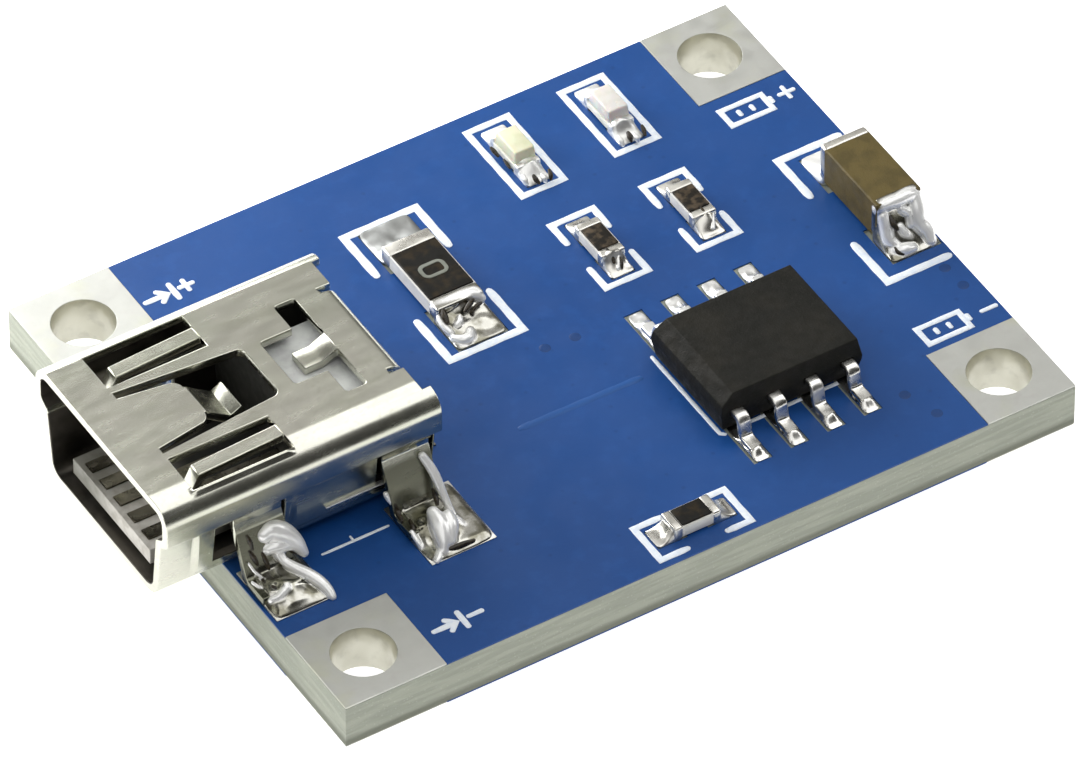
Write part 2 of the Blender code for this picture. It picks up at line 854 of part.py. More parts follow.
def make_contacts():
    """Contacts: flat on the blade, through the block, down behind it and soldered to the board."""
    sole = land_top + contact_thickness / 2
    drop = insulator_rear() + contact_thickness / 2 + tail_gap
    middle = contact_middle()
    for index, offset in enumerate(contact_offsets()):
        name = "socket_contact_%d" % (index + 1)
        path = [
            (mouth + blade_recess + contact_nose_gap, middle),
            (drop, middle),
            (drop, sole),
            (drop + tail_reach, sole),
        ]
        contact = strip(name, path, contact_thickness, contact_width, "XZ", offset, contact_bend_radius)
        low, high = claim_land((drop - tail_land_heel, offset - tail_land_width / 2),
                               (drop + tail_reach + tail_land_toe, offset + tail_land_width / 2))
        land = box(name + "_land", (low[0], low[1], film_seat), (high[0], high[1], land_top + bite))
        join(contact, land)
        keep(smooth(contact), name, "contact_metal")


def make_leg_solder():
    """Solder pool round each leg of the shell, on its land."""
    for end, (start, _, (land_length, land_outer)) in leg_ranges().items():
        for side_name, side in (("minus", -1), ("plus", 1)):
            name = "leg_solder_%s_%s" % (end, side_name)
            middle = start + leg_width / 2
            ys = sorted((side * leg_land_inner(), side * land_outer))
            land_start = start + leg_land_setback
            low, high = claim_land((land_start, ys[0]), (land_start + land_length, ys[1]))

            def height(u, v, side=side):
                out = (1 + side * v) / 2
                climb = min(1.0, leg_solder_heel + (1 - leg_solder_heel) * out / leg_solder_crest)
                crown = (1 - u ** 4) * (1 - out) ** leg_solder_fall * climb
                return land_top + leg_solder_height * crown

            pool = mound(name, low, high, film_seat, height, 10, 10)
            room = strip(name + "_room", leg_path(side, bite), sheet + 2 * seat_gap,
                         leg_width + 2 * seat_gap, "YZ", middle, leg_bend_radius)
            cut(pool, room)
            keep(smooth(pool), name, "solder")


def make_chip_body():
    """Moulded body: drafted above and below the lead plane, with a bevel along one end."""
    half_x = chip_length / 2
    half_y = chip_width / 2
    bottom = board_top + chip_standoff
    top = bottom + chip_height
    middle = (bottom + top) / 2
    bevel_draft = chip_draft * (1 - 2 * chip_bevel / chip_height)
    outline = [
        (-half_x + chip_draft, bottom),
        (half_x - chip_draft, bottom),
        (half_x, middle),
        (half_x - chip_draft, top),
        (-half_x + chip_draft + chip_bevel, top),
        (-half_x + bevel_draft, top - chip_bevel),
        (-half_x, middle),
    ]
    outline = [(chip_centre[0] + across, up) for across, up in outline]
    body = prism("chip_body", [outline], chip_width, "XZ", chip_centre[1])
    across = [
        (-half_y + chip_draft, bottom - bite),
        (half_y - chip_draft, bottom - bite),
        (half_y + bite, middle),
        (half_y - chip_draft, top + bite),
        (-half_y + chip_draft, top + bite),
        (-half_y - bite, middle),
    ]
    across = [(chip_centre[1] + side, up) for side, up in across]
    waist = prism("chip_waist", [across], chip_length + sheet, "YZ", chip_centre[0])
    combine(body, waist, "INTERSECT")
    lead_middle = board_top + chip_standoff + chip_height / 2
    for centre_x, side, _ in lead_places():
        inner = chip_centre[1] + side * (half_y - lead_shoulder - seat_gap)
        outer = chip_centre[1] + side * (half_y + sheet)
        ys = sorted((inner, outer))
        half = lead_width / 2 + seat_gap
        thick = lead_thickness / 2 + seat_gap
        cut(body, box("lead_way", (centre_x - half, ys[0], lead_middle - thick),
                      (centre_x + half, ys[1], lead_middle + thick)))
    keep(body, "chip_body", "chip_moulding")


def lead_places():
    """Place, side and number of each lead, counted round the body."""
    places = []
    first = chip_centre[0] - lead_pitch * (lead_count - 1) / 2
    for index in range(lead_count):
        places.append((first + lead_pitch * index, -1, index + 1))
    for index in range(lead_count):
        places.append((first + lead_pitch * index, 1, 2 * lead_count - index))
    return places


def make_leads():
    """Gull-wing leads, each with its solder and its land."""
    middle = board_top + chip_standoff + chip_height / 2
    sole = land_top + lead_sole_gap + lead_thickness / 2
    tip = lead_span / 2
    for centre_x, side, number in lead_places():
        name = "chip_lead_%d" % number
        root = chip_width / 2 - lead_shoulder
        knee = chip_width / 2 + lead_shoulder
        heel = tip - lead_foot
        path = [(root, middle), (knee, middle), (heel, sole), (tip, sole)]
        path = [(chip_centre[1] + side * out, up) for out, up in path]
        lead = strip(name, path, lead_thickness, lead_width, "YZ", centre_x, lead_bend_radius)
        outer = tip + lead_land_toe + side * lead_land_shift
        ys = sorted((chip_centre[1] + side * (outer - lead_land_length), chip_centre[1] + side * outer))
        low, high = claim_land((centre_x - lead_land_width / 2, ys[0]),
                               (centre_x + lead_land_width / 2, ys[1]))

        def height(u, v, side=side):
            out = (1 + side * v) / 2
            toe = max(0.0, 1 - abs(out - lead_solder_crest) / (1 - lead_solder_crest))
            return land_top + lead_solder_height * toe * (1 - lead_solder_side_fall * u * u)

        solder = mound(name + "_solder", low, high, film_seat, height, 6, 8)
        join(lead, solder)
        keep(smooth(lead), name, "lead_metal")


def make_heat_pad():
    """Heat pad under the chip body, soldered to its land."""
    half_x = heat_pad_length / 2
    half_y = heat_pad_width / 2
    low, high = claim_land((chip_centre[0] - half_x, chip_centre[1] - half_y),
                           (chip_centre[0] + half_x, chip_centre[1] + half_y))
    pad = box("heat_pad", (low[0], low[1], film_seat),
              (high[0], high[1], board_top + chip_standoff - seat_gap))
    keep(pad, "chip_heat_pad", "solder")


def turned(thing, centre, along_y):
    """Place a piece that was made along X at the origin, turned to lie along Y where needed."""
    turn = Matrix.Rotation(math.radians(90), 4, "Z") if along_y else Matrix.Identity(4)
    thing.matrix_world = Matrix.Translation((centre[0], centre[1], 0)) @ turn @ thing.matrix_basis
    return thing


def claim_chip_land(centre, along_y, start, end, half):
    """Note the land under a chip part's terminal, given along the chip."""
    xs = sorted((start, end))
    if along_y:
        claim_land((centre[0] - half, centre[1] + xs[0]), (centre[0] + half, centre[1] + xs[1]))
    else:
        claim_land((centre[0] + xs[0], centre[1] - half), (centre[0] + xs[1], centre[1] + half))


def terminal_outline(length, height, reach, side, solder, land_reach):
    """Side view of a terminal: a cap round the chip's end, with solder and land where it has them."""
    seat = land_top + seat_gap
    end = length / 2
    wall = terminal_wall
    inner = end - reach
    low = seat
    high = seat + height
    cap = [
        (inner, high - wall),
        (inner, high),
        (end - wall, high),
        (end, high - wall),
    ]
    if solder:
        run = land_reach - wall
        rise = height * fillet_share
        steps = 6
        for step in range(steps + 1):
            angle = math.radians(90 * step / steps)
            cap.append((end + run * (1 - math.cos(angle)), land_top + rise * (1 - math.sin(angle))))
        cap += [
            (end + land_reach, land_top),
            (end + land_reach, film_seat),
            (inner - chip_land_tuck, film_seat),
            (inner - chip_land_tuck, land_top),
            (inner, land_top),
        ]
    else:
        cap += [(end, low), (inner, low)]
    cap += [
        (inner, low + wall),
        (end - wall, low + wall),
        (end - wall, high - wall),
    ]
    return [(side * across, up) for across, up in cap]


def make_terminals(prefix, centre, along_y, size, reach, solder, finish="terminal_tin"):
    """Both plated ends of a chip part, named a for the end at the minus side and b for the other."""
    length, width, height = size
    for letter, side in (("a", -1), ("b", 1)):
        name = "%s_terminal_%s" % (prefix, letter)
        outline = terminal_outline(length, height, reach, side, solder, chip_land_reach)
        cap = prism(name, [outline], width, "XZ", 0.0)
        turned(cap, centre, along_y)
        keep(cap, name, finish)
        if solder:
            claim_chip_land(centre, along_y, side * (length / 2 - reach - chip_land_tuck),
                            side * (length / 2 + chip_land_reach), width / 2)


def chip_block(name, size, end_wall, floor, ceiling):
    """Ceramic block between the terminals' caps."""
    length, width, _ = size
    half = length / 2 - end_wall - seat_gap
    return box(name, (-half, -width / 2, floor), (half, width / 2, ceiling))


def make_resistor(number, centre, along_y, size, reach, solder):
    """Chip resistor: ceramic block, printed element with its glaze, and two plated terminals."""
    prefix = "resistor_%d" % number
    length, width, height = size
    floor = land_top + seat_gap + terminal_wall + seat_gap
    ceiling = land_top + seat_gap + height - terminal_wall - seat_gap
    block = turned(chip_block(prefix, size, terminal_wall, floor, ceiling), centre, along_y)
    keep(block, prefix + "_ceramic", "white_ceramic")
    half = length / 2 - reach - seat_gap
    side = width / 2 - element_inset
    bottom = ceiling + seat_gap
    element = box(prefix, (-half, -side, bottom), (half, side, bottom + element_rise))
    keep(turned(element, centre, along_y), prefix + "_element", "black_element")
    make_terminals(prefix, centre, along_y, size, reach, solder)


def make_end_solder(prefix, centre, along_y, size, land_reach, rise_share):
    """Solder fillets of a large chip part, from its end faces out over its lands."""
    length, width, height = size
    half = width / 2 + chip_land_margin
    for letter, side in (("a", -1), ("b", 1)):
        name = "%s_solder_%s" % (prefix, letter)
        start = length / 2 + seat_gap
        inner = length / 2 - large_terminal - chip_land_tuck
        outer = length / 2 + land_reach
        share = rise_share[0] if side < 0 else rise_share[1]

        def level(u, v, side=side, share=share):
            out = (1 + side * u) / 2
            edge = 1 - fillet_edge_fall * v ** 4
            return land_top + height * share * (1 - out) ** fillet_fall * edge

        xs = sorted((side * start, side * outer))
        fillet = mound(name, (xs[0], -half), (xs[1], half), film_seat, level, 10, 6)
        plate_xs = sorted((side * inner, side * (start + bite)))
        plate = box(name + "_land", (plate_xs[0], -half, film_seat), (plate_xs[1], half, land_top))
        turned(plate, centre, along_y)
        join(turned(fillet, centre, along_y), plate)
        claim_chip_land(centre, along_y, side * inner, side * outer, half)
        keep(smooth(fillet), name, "solder")


def make_capacitor():
    """Multilayer ceramic capacitor with two plated terminals on solder."""
    size = capacitor_size
    floor = land_top + seat_gap + terminal_wall + seat_gap
    ceiling = land_top + seat_gap + size[2] - terminal_wall - seat_gap
    block = chip_block("capacitor", size, terminal_wall, floor, ceiling)
    keep(turned(block, capacitor_centre, True), "capacitor_ceramic", "brown_ceramic")
    make_terminals("capacitor", capacitor_centre, True, size, large_terminal, False)
    make_end_solder("capacitor", capacitor_centre, True, size, capacitor_solder_reach,
                    capacitor_solder_shares)


def make_lamp(number, centre):
    """Indicator lamp: white base, clear drafted lens and two plated ends."""
    prefix = "lamp_%d" % number
    length, width, height = lamp_size
    base_size = (length, width, lamp_base_height)
    floor = land_top + seat_gap + terminal_wall + seat_gap
    ceiling = land_top + seat_gap + lamp_base_height - terminal_wall - seat_gap
    base = chip_block(prefix, base_size, terminal_wall, floor, ceiling)
    keep(turned(base, centre, True), prefix + "_base", "lamp_base")
    bottom = ceiling + seat_gap
    top = land_top + height
    half = lens_length / 2
    side_view = [(-half, bottom), (half, bottom), (half - lens_draft, top), (-half + lens_draft, top)]
    lens = prism(prefix, [side_view], width - 2 * lens_draft, "XZ", 0.0)
    keep(turned(lens, centre, True), prefix + "_lens", "clear_lens")
    make_terminals(prefix, centre, True, base_size, lamp_terminal, True)


clear_scene()
parts = new_collection("charger_module")
cutters = new_collection("cutters")

make_laminate()
for land_name, (end_side, width_side) in corners.items():
    make_corner_land(land_name, end_side, width_side)
make_shell()
make_insulator()
make_contacts()
make_leg_solder()
make_chip_body()
make_leads()
make_heat_pad()
make_resistor(1, resistor_1_centre, True, large_chip_size, large_terminal, False)
make_end_solder("resistor_1", resistor_1_centre, True, large_chip_size, resistor_1_solder_reach,
                resistor_1_solder_shares)
make_resistor(2, resistor_2_centre, True, small_chip_size, small_terminal, True)
make_resistor(3, resistor_3_centre, True, small_chip_size, small_terminal, True)
make_resistor(4, resistor_4_centre, False, small_chip_size, small_terminal, True)
make_lamp(1, lamp_1_centre)
make_lamp(2, lamp_2_centre)
make_capacitor()
make_masks()
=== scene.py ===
"""Charger module dressed for its picture: finishes, print, solder and rounded edges.

Shapes are worked out in millimetres in the model's own frame, with the board's top face at height
1.6, and are turned into metres when they become meshes.
"""
import math

import bmesh
import bpy
import numpy as np
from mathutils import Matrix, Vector


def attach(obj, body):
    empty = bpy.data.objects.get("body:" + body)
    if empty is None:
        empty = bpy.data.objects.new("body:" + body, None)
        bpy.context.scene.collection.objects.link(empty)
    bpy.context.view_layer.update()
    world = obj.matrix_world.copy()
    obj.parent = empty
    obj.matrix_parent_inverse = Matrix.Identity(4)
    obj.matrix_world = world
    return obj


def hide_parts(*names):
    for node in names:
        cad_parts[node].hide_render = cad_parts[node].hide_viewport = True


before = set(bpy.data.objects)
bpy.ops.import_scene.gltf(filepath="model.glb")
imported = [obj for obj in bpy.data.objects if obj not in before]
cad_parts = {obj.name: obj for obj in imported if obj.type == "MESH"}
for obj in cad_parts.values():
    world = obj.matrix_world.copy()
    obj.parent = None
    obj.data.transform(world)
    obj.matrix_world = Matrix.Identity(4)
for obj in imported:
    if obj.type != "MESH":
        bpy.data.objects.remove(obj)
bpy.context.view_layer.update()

mm = 0.001

# Heights in millimetres: the board's top face, its lands' top, and where parts stand on the lands.
deck = 1.6
land_top = 1.62
seat = 1.63

# A place in millimetres past the socket on every axis, for masks that are open on one side.
far = 9.0


# ---- node building

FLOAT = "NodeSocketFloat"
VECTOR = "NodeSocketVector"


def set_inputs(node, values):
    """Constant values for a node's inputs; an underscore in a name stands for a space."""
    for key, value in values.items():
        node.inputs[key.replace("_", " ")].default_value = value


def add_node(tree, kind, **settings):
    """New shader node: settings in lower case are its own, the others are constant inputs."""
    node = tree.nodes.new("ShaderNode" + kind)
    for key, value in settings.items():
        if key.islower():
            setattr(node, key, value)
        else:
            set_inputs(node, {key: value})
    return node


def wire(tree, *pairs):
    """Links, each from an output to an input."""
    for start, end in pairs:
        tree.links.new(start, end)


def new_group(name, inputs, outputs):
    """Empty shader group with named sockets; returns the group, what it is given and what it gives."""
    tree = bpy.data.node_groups.new(name, "ShaderNodeTree")
    for label, kind, value in inputs:
        socket = tree.interface.new_socket(name=label, in_out="INPUT", socket_type=kind)
        if value is not None:
            socket.default_value = value
    for label in outputs:
        tree.interface.new_socket(name=label, in_out="OUTPUT", socket_type=FLOAT)
    return tree, tree.nodes.new("NodeGroupInput").outputs, tree.nodes.new("NodeGroupOutput").inputs


def build_mottle():
    """Soft cloudy mask: noise in millimetres, stretched per axis, cut between a low and a high level."""
    tree, given, out = new_group("mottle", [
        ("Place", VECTOR, None), ("Stretch", VECTOR, (1.0, 1.0, 1.0)), ("Scale", FLOAT, 1.0),
        ("Detail", FLOAT, 3.0), ("Low", FLOAT, 0.35), ("High", FLOAT, 0.65)], ["Mask"])
    place = add_node(tree, "VectorMath", operation="SCALE", Scale=1 / mm)
    stretched = add_node(tree, "VectorMath", operation="MULTIPLY")
    noise = add_node(tree, "TexNoise")
    level = add_node(tree, "MapRange", interpolation_type="SMOOTHSTEP")
    wire(tree, (given["Place"], place.inputs[0]), (place.outputs[0], stretched.inputs[0]),
         (given["Stretch"], stretched.inputs[1]), (stretched.outputs[0], noise.inputs["Vector"]),
         (given["Scale"], noise.inputs["Scale"]), (given["Detail"], noise.inputs["Detail"]),
         (noise.outputs["Fac"], level.inputs["Value"]), (given["Low"], level.inputs["From Min"]),
         (given["High"], level.inputs["From Max"]), (level.outputs["Result"], out["Mask"]))
    return tree


def build_grain():
    """Fine grain and speckle: sharp noise for a height, and sparse specks as a mask."""
    tree, given, out = new_group("grain", [
        ("Place", VECTOR, None), ("Scale", FLOAT, 10.0), ("Speck Size", FLOAT, 4.0),
        ("Speck Amount", FLOAT, 0.3)], ["Height", "Specks"])
    place = add_node(tree, "VectorMath", operation="SCALE", Scale=1 / mm)
    noise = add_node(tree, "TexNoise", Detail=4.0, Roughness=0.7)
    cells = add_node(tree, "TexVoronoi", feature="F1")
    edge = add_node(tree, "MapRange", interpolation_type="SMOOTHSTEP", To_Min=1.0, To_Max=0.0)
    wire(tree, (given["Place"], place.inputs[0]), (place.outputs[0], noise.inputs["Vector"]),
         (place.outputs[0], cells.inputs["Vector"]), (given["Scale"], noise.inputs["Scale"]),
         (given["Speck Size"], cells.inputs["Scale"]), (cells.outputs["Distance"], edge.inputs["Value"]),
         (given["Speck Amount"], edge.inputs["From Max"]), (noise.outputs["Fac"], out["Height"]),
         (edge.outputs["Result"], out["Specks"]))
    return tree


mottle = build_mottle()
grain = build_grain()


class Finish:
    """A material under construction: its shader, its object coordinates and short ways to add to them."""

    def __init__(self, name, colour, roughness, metallic=0.0, **constants):
        self.material = bpy.data.materials.new(name)
        self.material.use_nodes = True
        self.material.diffuse_color = (*colour, 1.0)
        self.tree = self.material.node_tree
        self.shader = self.tree.nodes["Principled BSDF"]
        self.place = add_node(self.tree, "TexCoord").outputs["Object"]
        set_inputs(self.shader, dict(Base_Color=(*colour, 1.0), Roughness=roughness, Metallic=metallic,
                                     **constants))
        self.colour = None
        self.height = None

    def cloud(self, scale, low=0.35, high=0.65, detail=3.0, stretch=(1.0, 1.0, 1.0)):
        """Mask from the mottle group."""
        node = add_node(self.tree, "Group", node_tree=mottle, Scale=scale, Low=low, High=high,
                        Detail=detail, Stretch=stretch)
        wire(self.tree, (self.place, node.inputs["Place"]))
        return node.outputs["Mask"]

    def fine(self, scale, speck_size=4.0, speck_amount=0.3):
        """Height and specks from the grain group."""
        node = add_node(self.tree, "Group", node_tree=grain, Scale=scale, Speck_Size=speck_size,
                        Speck_Amount=speck_amount)
        wire(self.tree, (self.place, node.inputs["Place"]))
        return node.outputs["Height"], node.outputs["Specks"]

    def within(self, first, second):
        """Where both masks are high: their product."""
        both = add_node(self.tree, "Math", operation="MULTIPLY")
        wire(self.tree, (first, both.inputs[0]), (second, both.inputs[1]))
        return both.outputs[0]

    def band(self, axis, start, end, soft):
        """Mask that is high between two millimetre places on one axis, with soft edges."""
        parts = add_node(self.tree, "SeparateXYZ")
        wire(self.tree, (self.place, parts.inputs[0]))
        edges = []
        for low, high in ((start - soft, start + soft), (end + soft, end - soft)):
            rise = add_node(self.tree, "MapRange", interpolation_type="SMOOTHSTEP",
                            From_Min=low * mm, From_Max=high * mm)
            wire(self.tree, (parts.outputs[axis], rise.inputs["Value"]))
            edges.append(rise.outputs["Result"])
        return self.within(*edges)

    def tint(self, mask, colour, amount=1.0):
        """Lay a second colour over what is there, where the mask is high.

        The mix node takes its share at input 0 and its colours at 6 and 7, and gives a colour at 2.
        """
        mix = add_node(self.tree, "Mix", data_type="RGBA")
        weight = add_node(self.tree, "Math", operation="MULTIPLY")
        weight.inputs[1].default_value = amount
        wire(self.tree, (mask, weight.inputs[0]), (weight.outputs[0], mix.inputs[0]))
        if self.colour is None:
            mix.inputs[6].default_value = self.shader.inputs["Base Color"].default_value
        else:
            wire(self.tree, (self.colour, mix.inputs[6]))
        mix.inputs[7].default_value = (*colour, 1.0)
        self.colour = mix.outputs[2]
        wire(self.tree, (self.colour, self.shader.inputs["Base Color"]))

    def clouds(self, colour, amount, *shape):
        """Lay a second colour over in clouds of this shape."""
        self.tint(self.cloud(*shape), colour, amount)

    def vary(self, mask, low, high, socket="Roughness"):
        """Let a mask move the roughness (or another value) between two levels."""
        spread = add_node(self.tree, "MapRange", To_Min=low, To_Max=high)
        wire(self.tree, (mask, spread.inputs["Value"]),
             (spread.outputs["Result"], self.shader.inputs[socket]))

    def relief(self, mask, depth):
        """Raise the surface by a mask; depth is in millimetres, and reliefs add up."""
        bump = add_node(self.tree, "Bump", Strength=1.0, Distance=depth * mm)
        wire(self.tree, (mask, bump.inputs["Height"]))
        if self.height is not None:
            wire(self.tree, (self.height, bump.inputs["Normal"]))
        self.height = bump.outputs["Normal"]
        wire(self.tree, (self.height, self.shader.inputs["Normal"]))


# ---- finishes

def mask_finish(name, deep, pale):
    """Blue solder mask: two blues in slow clouds, a satin skin with slight orange peel."""
    finish = Finish(name, deep, 0.4, 0.0, Specular_IOR_Level=0.3)
    finish.clouds(pale, 0.35, 0.12, 0.35, 0.65, 1.0)
    finish.clouds(pale, 0.4, 2.2, 0.45, 0.75, 4.0)
    height, specks = finish.fine(9.0, 1.4, 0.16)
    finish.tint(specks, tuple(0.55 * level for level in deep), 0.35)
    finish.vary(finish.cloud(0.8, 0.3, 0.7), 0.34, 0.48)
    finish.relief(finish.cloud(2.6, 0.2, 0.8, 2.0), 0.004)
    finish.relief(height, 0.0012)
    return finish.material


def laminate_finish():
    """Cut glass-epoxy edge: cream grey-green with level glass layers and pale fibre ends."""
    finish = Finish("laminate_edge", (0.34, 0.36, 0.3), 0.7, 0.0, Specular_IOR_Level=0.3)
    finish.clouds((0.44, 0.46, 0.38), 0.6, 1.0, 0.42, 0.62, 3.0, (0.5, 0.5, 6.0))
    finish.clouds((0.36, 0.39, 0.3), 0.4, 1.0, 0.52, 0.72, 4.0, (3.0, 3.0, 8.0))
    height, specks = finish.fine(14.0, 7.0, 0.25)
    finish.tint(specks, (0.66, 0.67, 0.58), 0.4)
    # Darker towards the bottom: the lowest part of the edge, below about 0.3 mm, is tinted dark.
    finish.tint(finish.band("Z", -0.2, 0.3, 0.12), (0.16, 0.17, 0.13), 0.75)
    finish.relief(finish.cloud(1.0, 0.3, 0.7, 3.0, (3.0, 3.0, 8.0)), 0.012)
    finish.relief(height, 0.006)
    return finish.material


def tinned_finish():
    """Solder-levelled copper: warm pale grey metal, slightly blotched yellow-green, softly uneven."""
    finish = Finish("tinned_copper", (0.555, 0.56, 0.525), 0.45, 0.85)
    finish.clouds((0.56, 0.57, 0.42), 0.5, 0.7, 0.5, 0.75, 3.0)
    finish.clouds((0.5, 0.48, 0.46), 0.4, 1.9, 0.55, 0.8, 3.0)
    finish.vary(finish.cloud(1.7, 0.3, 0.7, 4.0), 0.4, 0.58)
    height, _ = finish.fine(8.0)
    finish.relief(finish.cloud(0.7, 0.2, 0.8, 2.0), 0.012)
    finish.relief(height, 0.003)
    return finish.material


def shell_finish():
    """Plated sheet steel: warm silver, with painted light on the near top bend and a painted dark reflection
    on the legs, with faint streaks along the socket, dents and soft steps beside the bend and the spring
    fingers."""
    finish = Finish("shell_steel", (0.58, 0.59, 0.5), 0.3, 1.0)
    # Painted light: the near half of the top is tinted paler, standing in for the bright overhead light on
    # it.
    near_top_painted_light = finish.within(finish.band("Z", 5.4, far, 0.1), finish.band("Y", -far, -0.3, 2.6))
    finish.tint(near_top_painted_light, (0.68, 0.68, 0.59))
    finish.clouds((0.6, 0.58, 0.52), 0.45, 0.45, 0.4, 0.65, 3.0)
    finish.clouds((0.53, 0.54, 0.43), 0.5, 0.9, 0.45, 0.8, 2.0, (0.6, 1.8, 1.8))
    finish.clouds((0.48, 0.46, 0.4), 0.25, 7.0, 0.5, 0.8, 1.0)
    finish.vary(finish.cloud(1.3, 0.3, 0.7, 4.0, (0.6, 2.5, 2.5)), 0.2, 0.28)
    finish.relief(finish.cloud(1.0, 0.2, 0.8, 5.0, (1.5, 24.0, 24.0)), 0.0001)
    finish.relief(finish.cloud(0.4, 0.2, 0.8, 0.0), 0.002)
    finish.relief(finish.band("Y", -2.94, far, 0.3), 0.1)
    # Painted dark reflection: the legs and low outer walls beyond the side faces are tinted dark olive,
    # standing in for dark surroundings they mirror.
    painted_dark_reflection_band = finish.band("Z", -1.0, 3.75, 0.25)
    for start, end in ((-far, -3.38), (3.38, far)):
        finish.tint(finish.within(painted_dark_reflection_band, finish.band("Y", start, end, 0.06)), (0.13, 0.13, 0.09), 0.85)
    beside_fingers = finish.band("X", -13.7, -10.4, 0.15)
    finish.relief(finish.within(beside_fingers, finish.band("Y", -3.32, -3.12, 0.1)), 0.09)
    return finish.material


def solder_finish(name, colour, low, high):
    """Hand-run solder: bright tin with duller clouds and a flowing skin."""
    finish = Finish(name, colour, low, 1.0)
    finish.clouds(tuple(0.72 * level for level in colour), 0.6, 2.0, 0.5, 0.75, 3.0)
    finish.vary(finish.cloud(1.6, 0.35, 0.7, 3.0), low, high)
    finish.relief(finish.cloud(2.0, 0.2, 0.8, 1.0), 0.012)
    return finish.material


def run_finish(name, shade=None):
    """Solder that is bright where it lay hot and matt white where the matt attribute is high; that white
    is partly a painted highlight, a near-white diffuse colour for the bright reflections on frosted runs.

    Shade gives two heights in millimetres between which the bright solder is painted dark, a painted dark
    reflection.
    """
    finish = Finish(name, (0.56, 0.55, 0.5), 0.16, 1.0)
    matt = add_node(finish.tree, "Attribute", attribute_name="matt").outputs["Fac"]
    finish.clouds((0.2, 0.19, 0.14), 0.9, 1.7, 0.42, 0.62, 3.0)
    if shade:
        # Painted dark reflection: the solder between these heights is tinted dark olive.
        finish.tint(finish.band("Z", *shade, 0.2), (0.1, 0.1, 0.065), 0.85)
    # Partly painted highlight: the frosted runs get a near-white diffuse colour standing in for bright
    # reflections on them.
    finish.tint(matt, (1.0, 1.0, 0.98), 1.0)
    finish.vary(matt, 0.2, 0.28)
    finish.vary(matt, 1.0, 0.35, "Metallic")
    finish.relief(finish.cloud(1.6, 0.2, 0.8, 1.0), 0.004)
    return finish.material


def chip_finish():
    """Moulding compound: near-black warm grey, matt, fine grain with a few paler specks."""
    finish = Finish("chip_moulding", (0.01, 0.0098, 0.0072), 0.62, 0.0, Specular_IOR_Level=0.2)
    height, specks = finish.fine(11.0, 5.0, 0.22)
    finish.tint(specks, (0.035, 0.032, 0.026), 0.5)
    finish.clouds((0.02, 0.018, 0.013), 0.7, 0.9, 0.4, 0.7)
    finish.vary(finish.cloud(3.0, 0.3, 0.7), 0.55, 0.75)
    finish.relief(height, 0.02)
    return finish.material


def insulator_finish():
    """Socket plastic: pale grey front of the tongue, with painted shade that darkens it towards the body and
    on the far side.
    """
    finish = Finish("insulator_plastic", (0.56, 0.54, 0.49), 0.5)
    finish.clouds((0.36, 0.34, 0.29), 0.8, 2.4, 0.4, 0.68, 4.0)
    # Painted shade: the plastic is darkened on the far side and near black deeper in towards the body, where
    # the mouth is in shadow.
    finish.tint(finish.band("Y", 0.3, far, 1.2), (0.07, 0.07, 0.05), 0.8)
    finish.tint(finish.band("X", -12.4, far, 0.7), (0.02, 0.02, 0.016), 1.0)
    finish.vary(finish.cloud(3.1, 0.3, 0.7), 0.42, 0.62)
    height, _ = finish.fine(12.0)
    finish.relief(height, 0.006)
    return finish.material


def plain_finish(name, colour, second, roughness, metallic=0.0, scale=2.0, grain_depth=0.006, **constants):
    """Small-part finish: two close tones in clouds, uneven gloss and a fine grain."""
    finish = Finish(name, colour, roughness, metallic, **constants)
    finish.clouds(second, 0.8, scale, 0.4, 0.68, 4.0)
    finish.vary(finish.cloud(scale * 1.3, 0.3, 0.7), max(roughness - 0.08, 0.05), roughness + 0.12)
    height, _ = finish.fine(12.0)
    finish.relief(height, grain_depth)
    return finish.material


blue_mask = mask_finish("blue_mask", (0.008, 0.061, 0.24), (0.014, 0.085, 0.315))
ridge_mask = mask_finish("ridge_mask", (0.012, 0.074, 0.27), (0.018, 0.1, 0.34))
via_mask = mask_finish("via_mask", (0.008, 0.045, 0.17), (0.012, 0.06, 0.22))
print_white = plain_finish("print_white", (0.9, 0.95, 1.0), (0.78, 0.86, 0.98), 0.55, 0.0, 5.0, 0.01)
laminate = laminate_finish()
tinned = tinned_finish()
steel = shell_finish()
solder_white = solder_finish("solder_white", (0.97, 0.97, 0.94), 0.42, 0.56)
solder_run = run_finish("solder_run")
# Solder on the legs, with a painted dark reflection between 2.1 and 6 mm up.
leg_run = run_finish("solder_run_on_legs", (2.1, 6.0))
solder_soft = solder_finish("solder_satin", (0.74, 0.73, 0.69), 0.24, 0.42)
solder_dull = solder_finish("solder_dull", (0.42, 0.43, 0.42), 0.3, 0.46)
lead_tin = solder_finish("lead_tin", (0.76, 0.75, 0.71), 0.2, 0.36)
terminal_tin = solder_finish("terminal_tin", (0.78, 0.76, 0.7), 0.22, 0.4)
contact_metal = solder_finish("contact_metal", (0.3, 0.28, 0.22), 0.2, 0.34)
moulding = chip_finish()
insulator = insulator_finish()
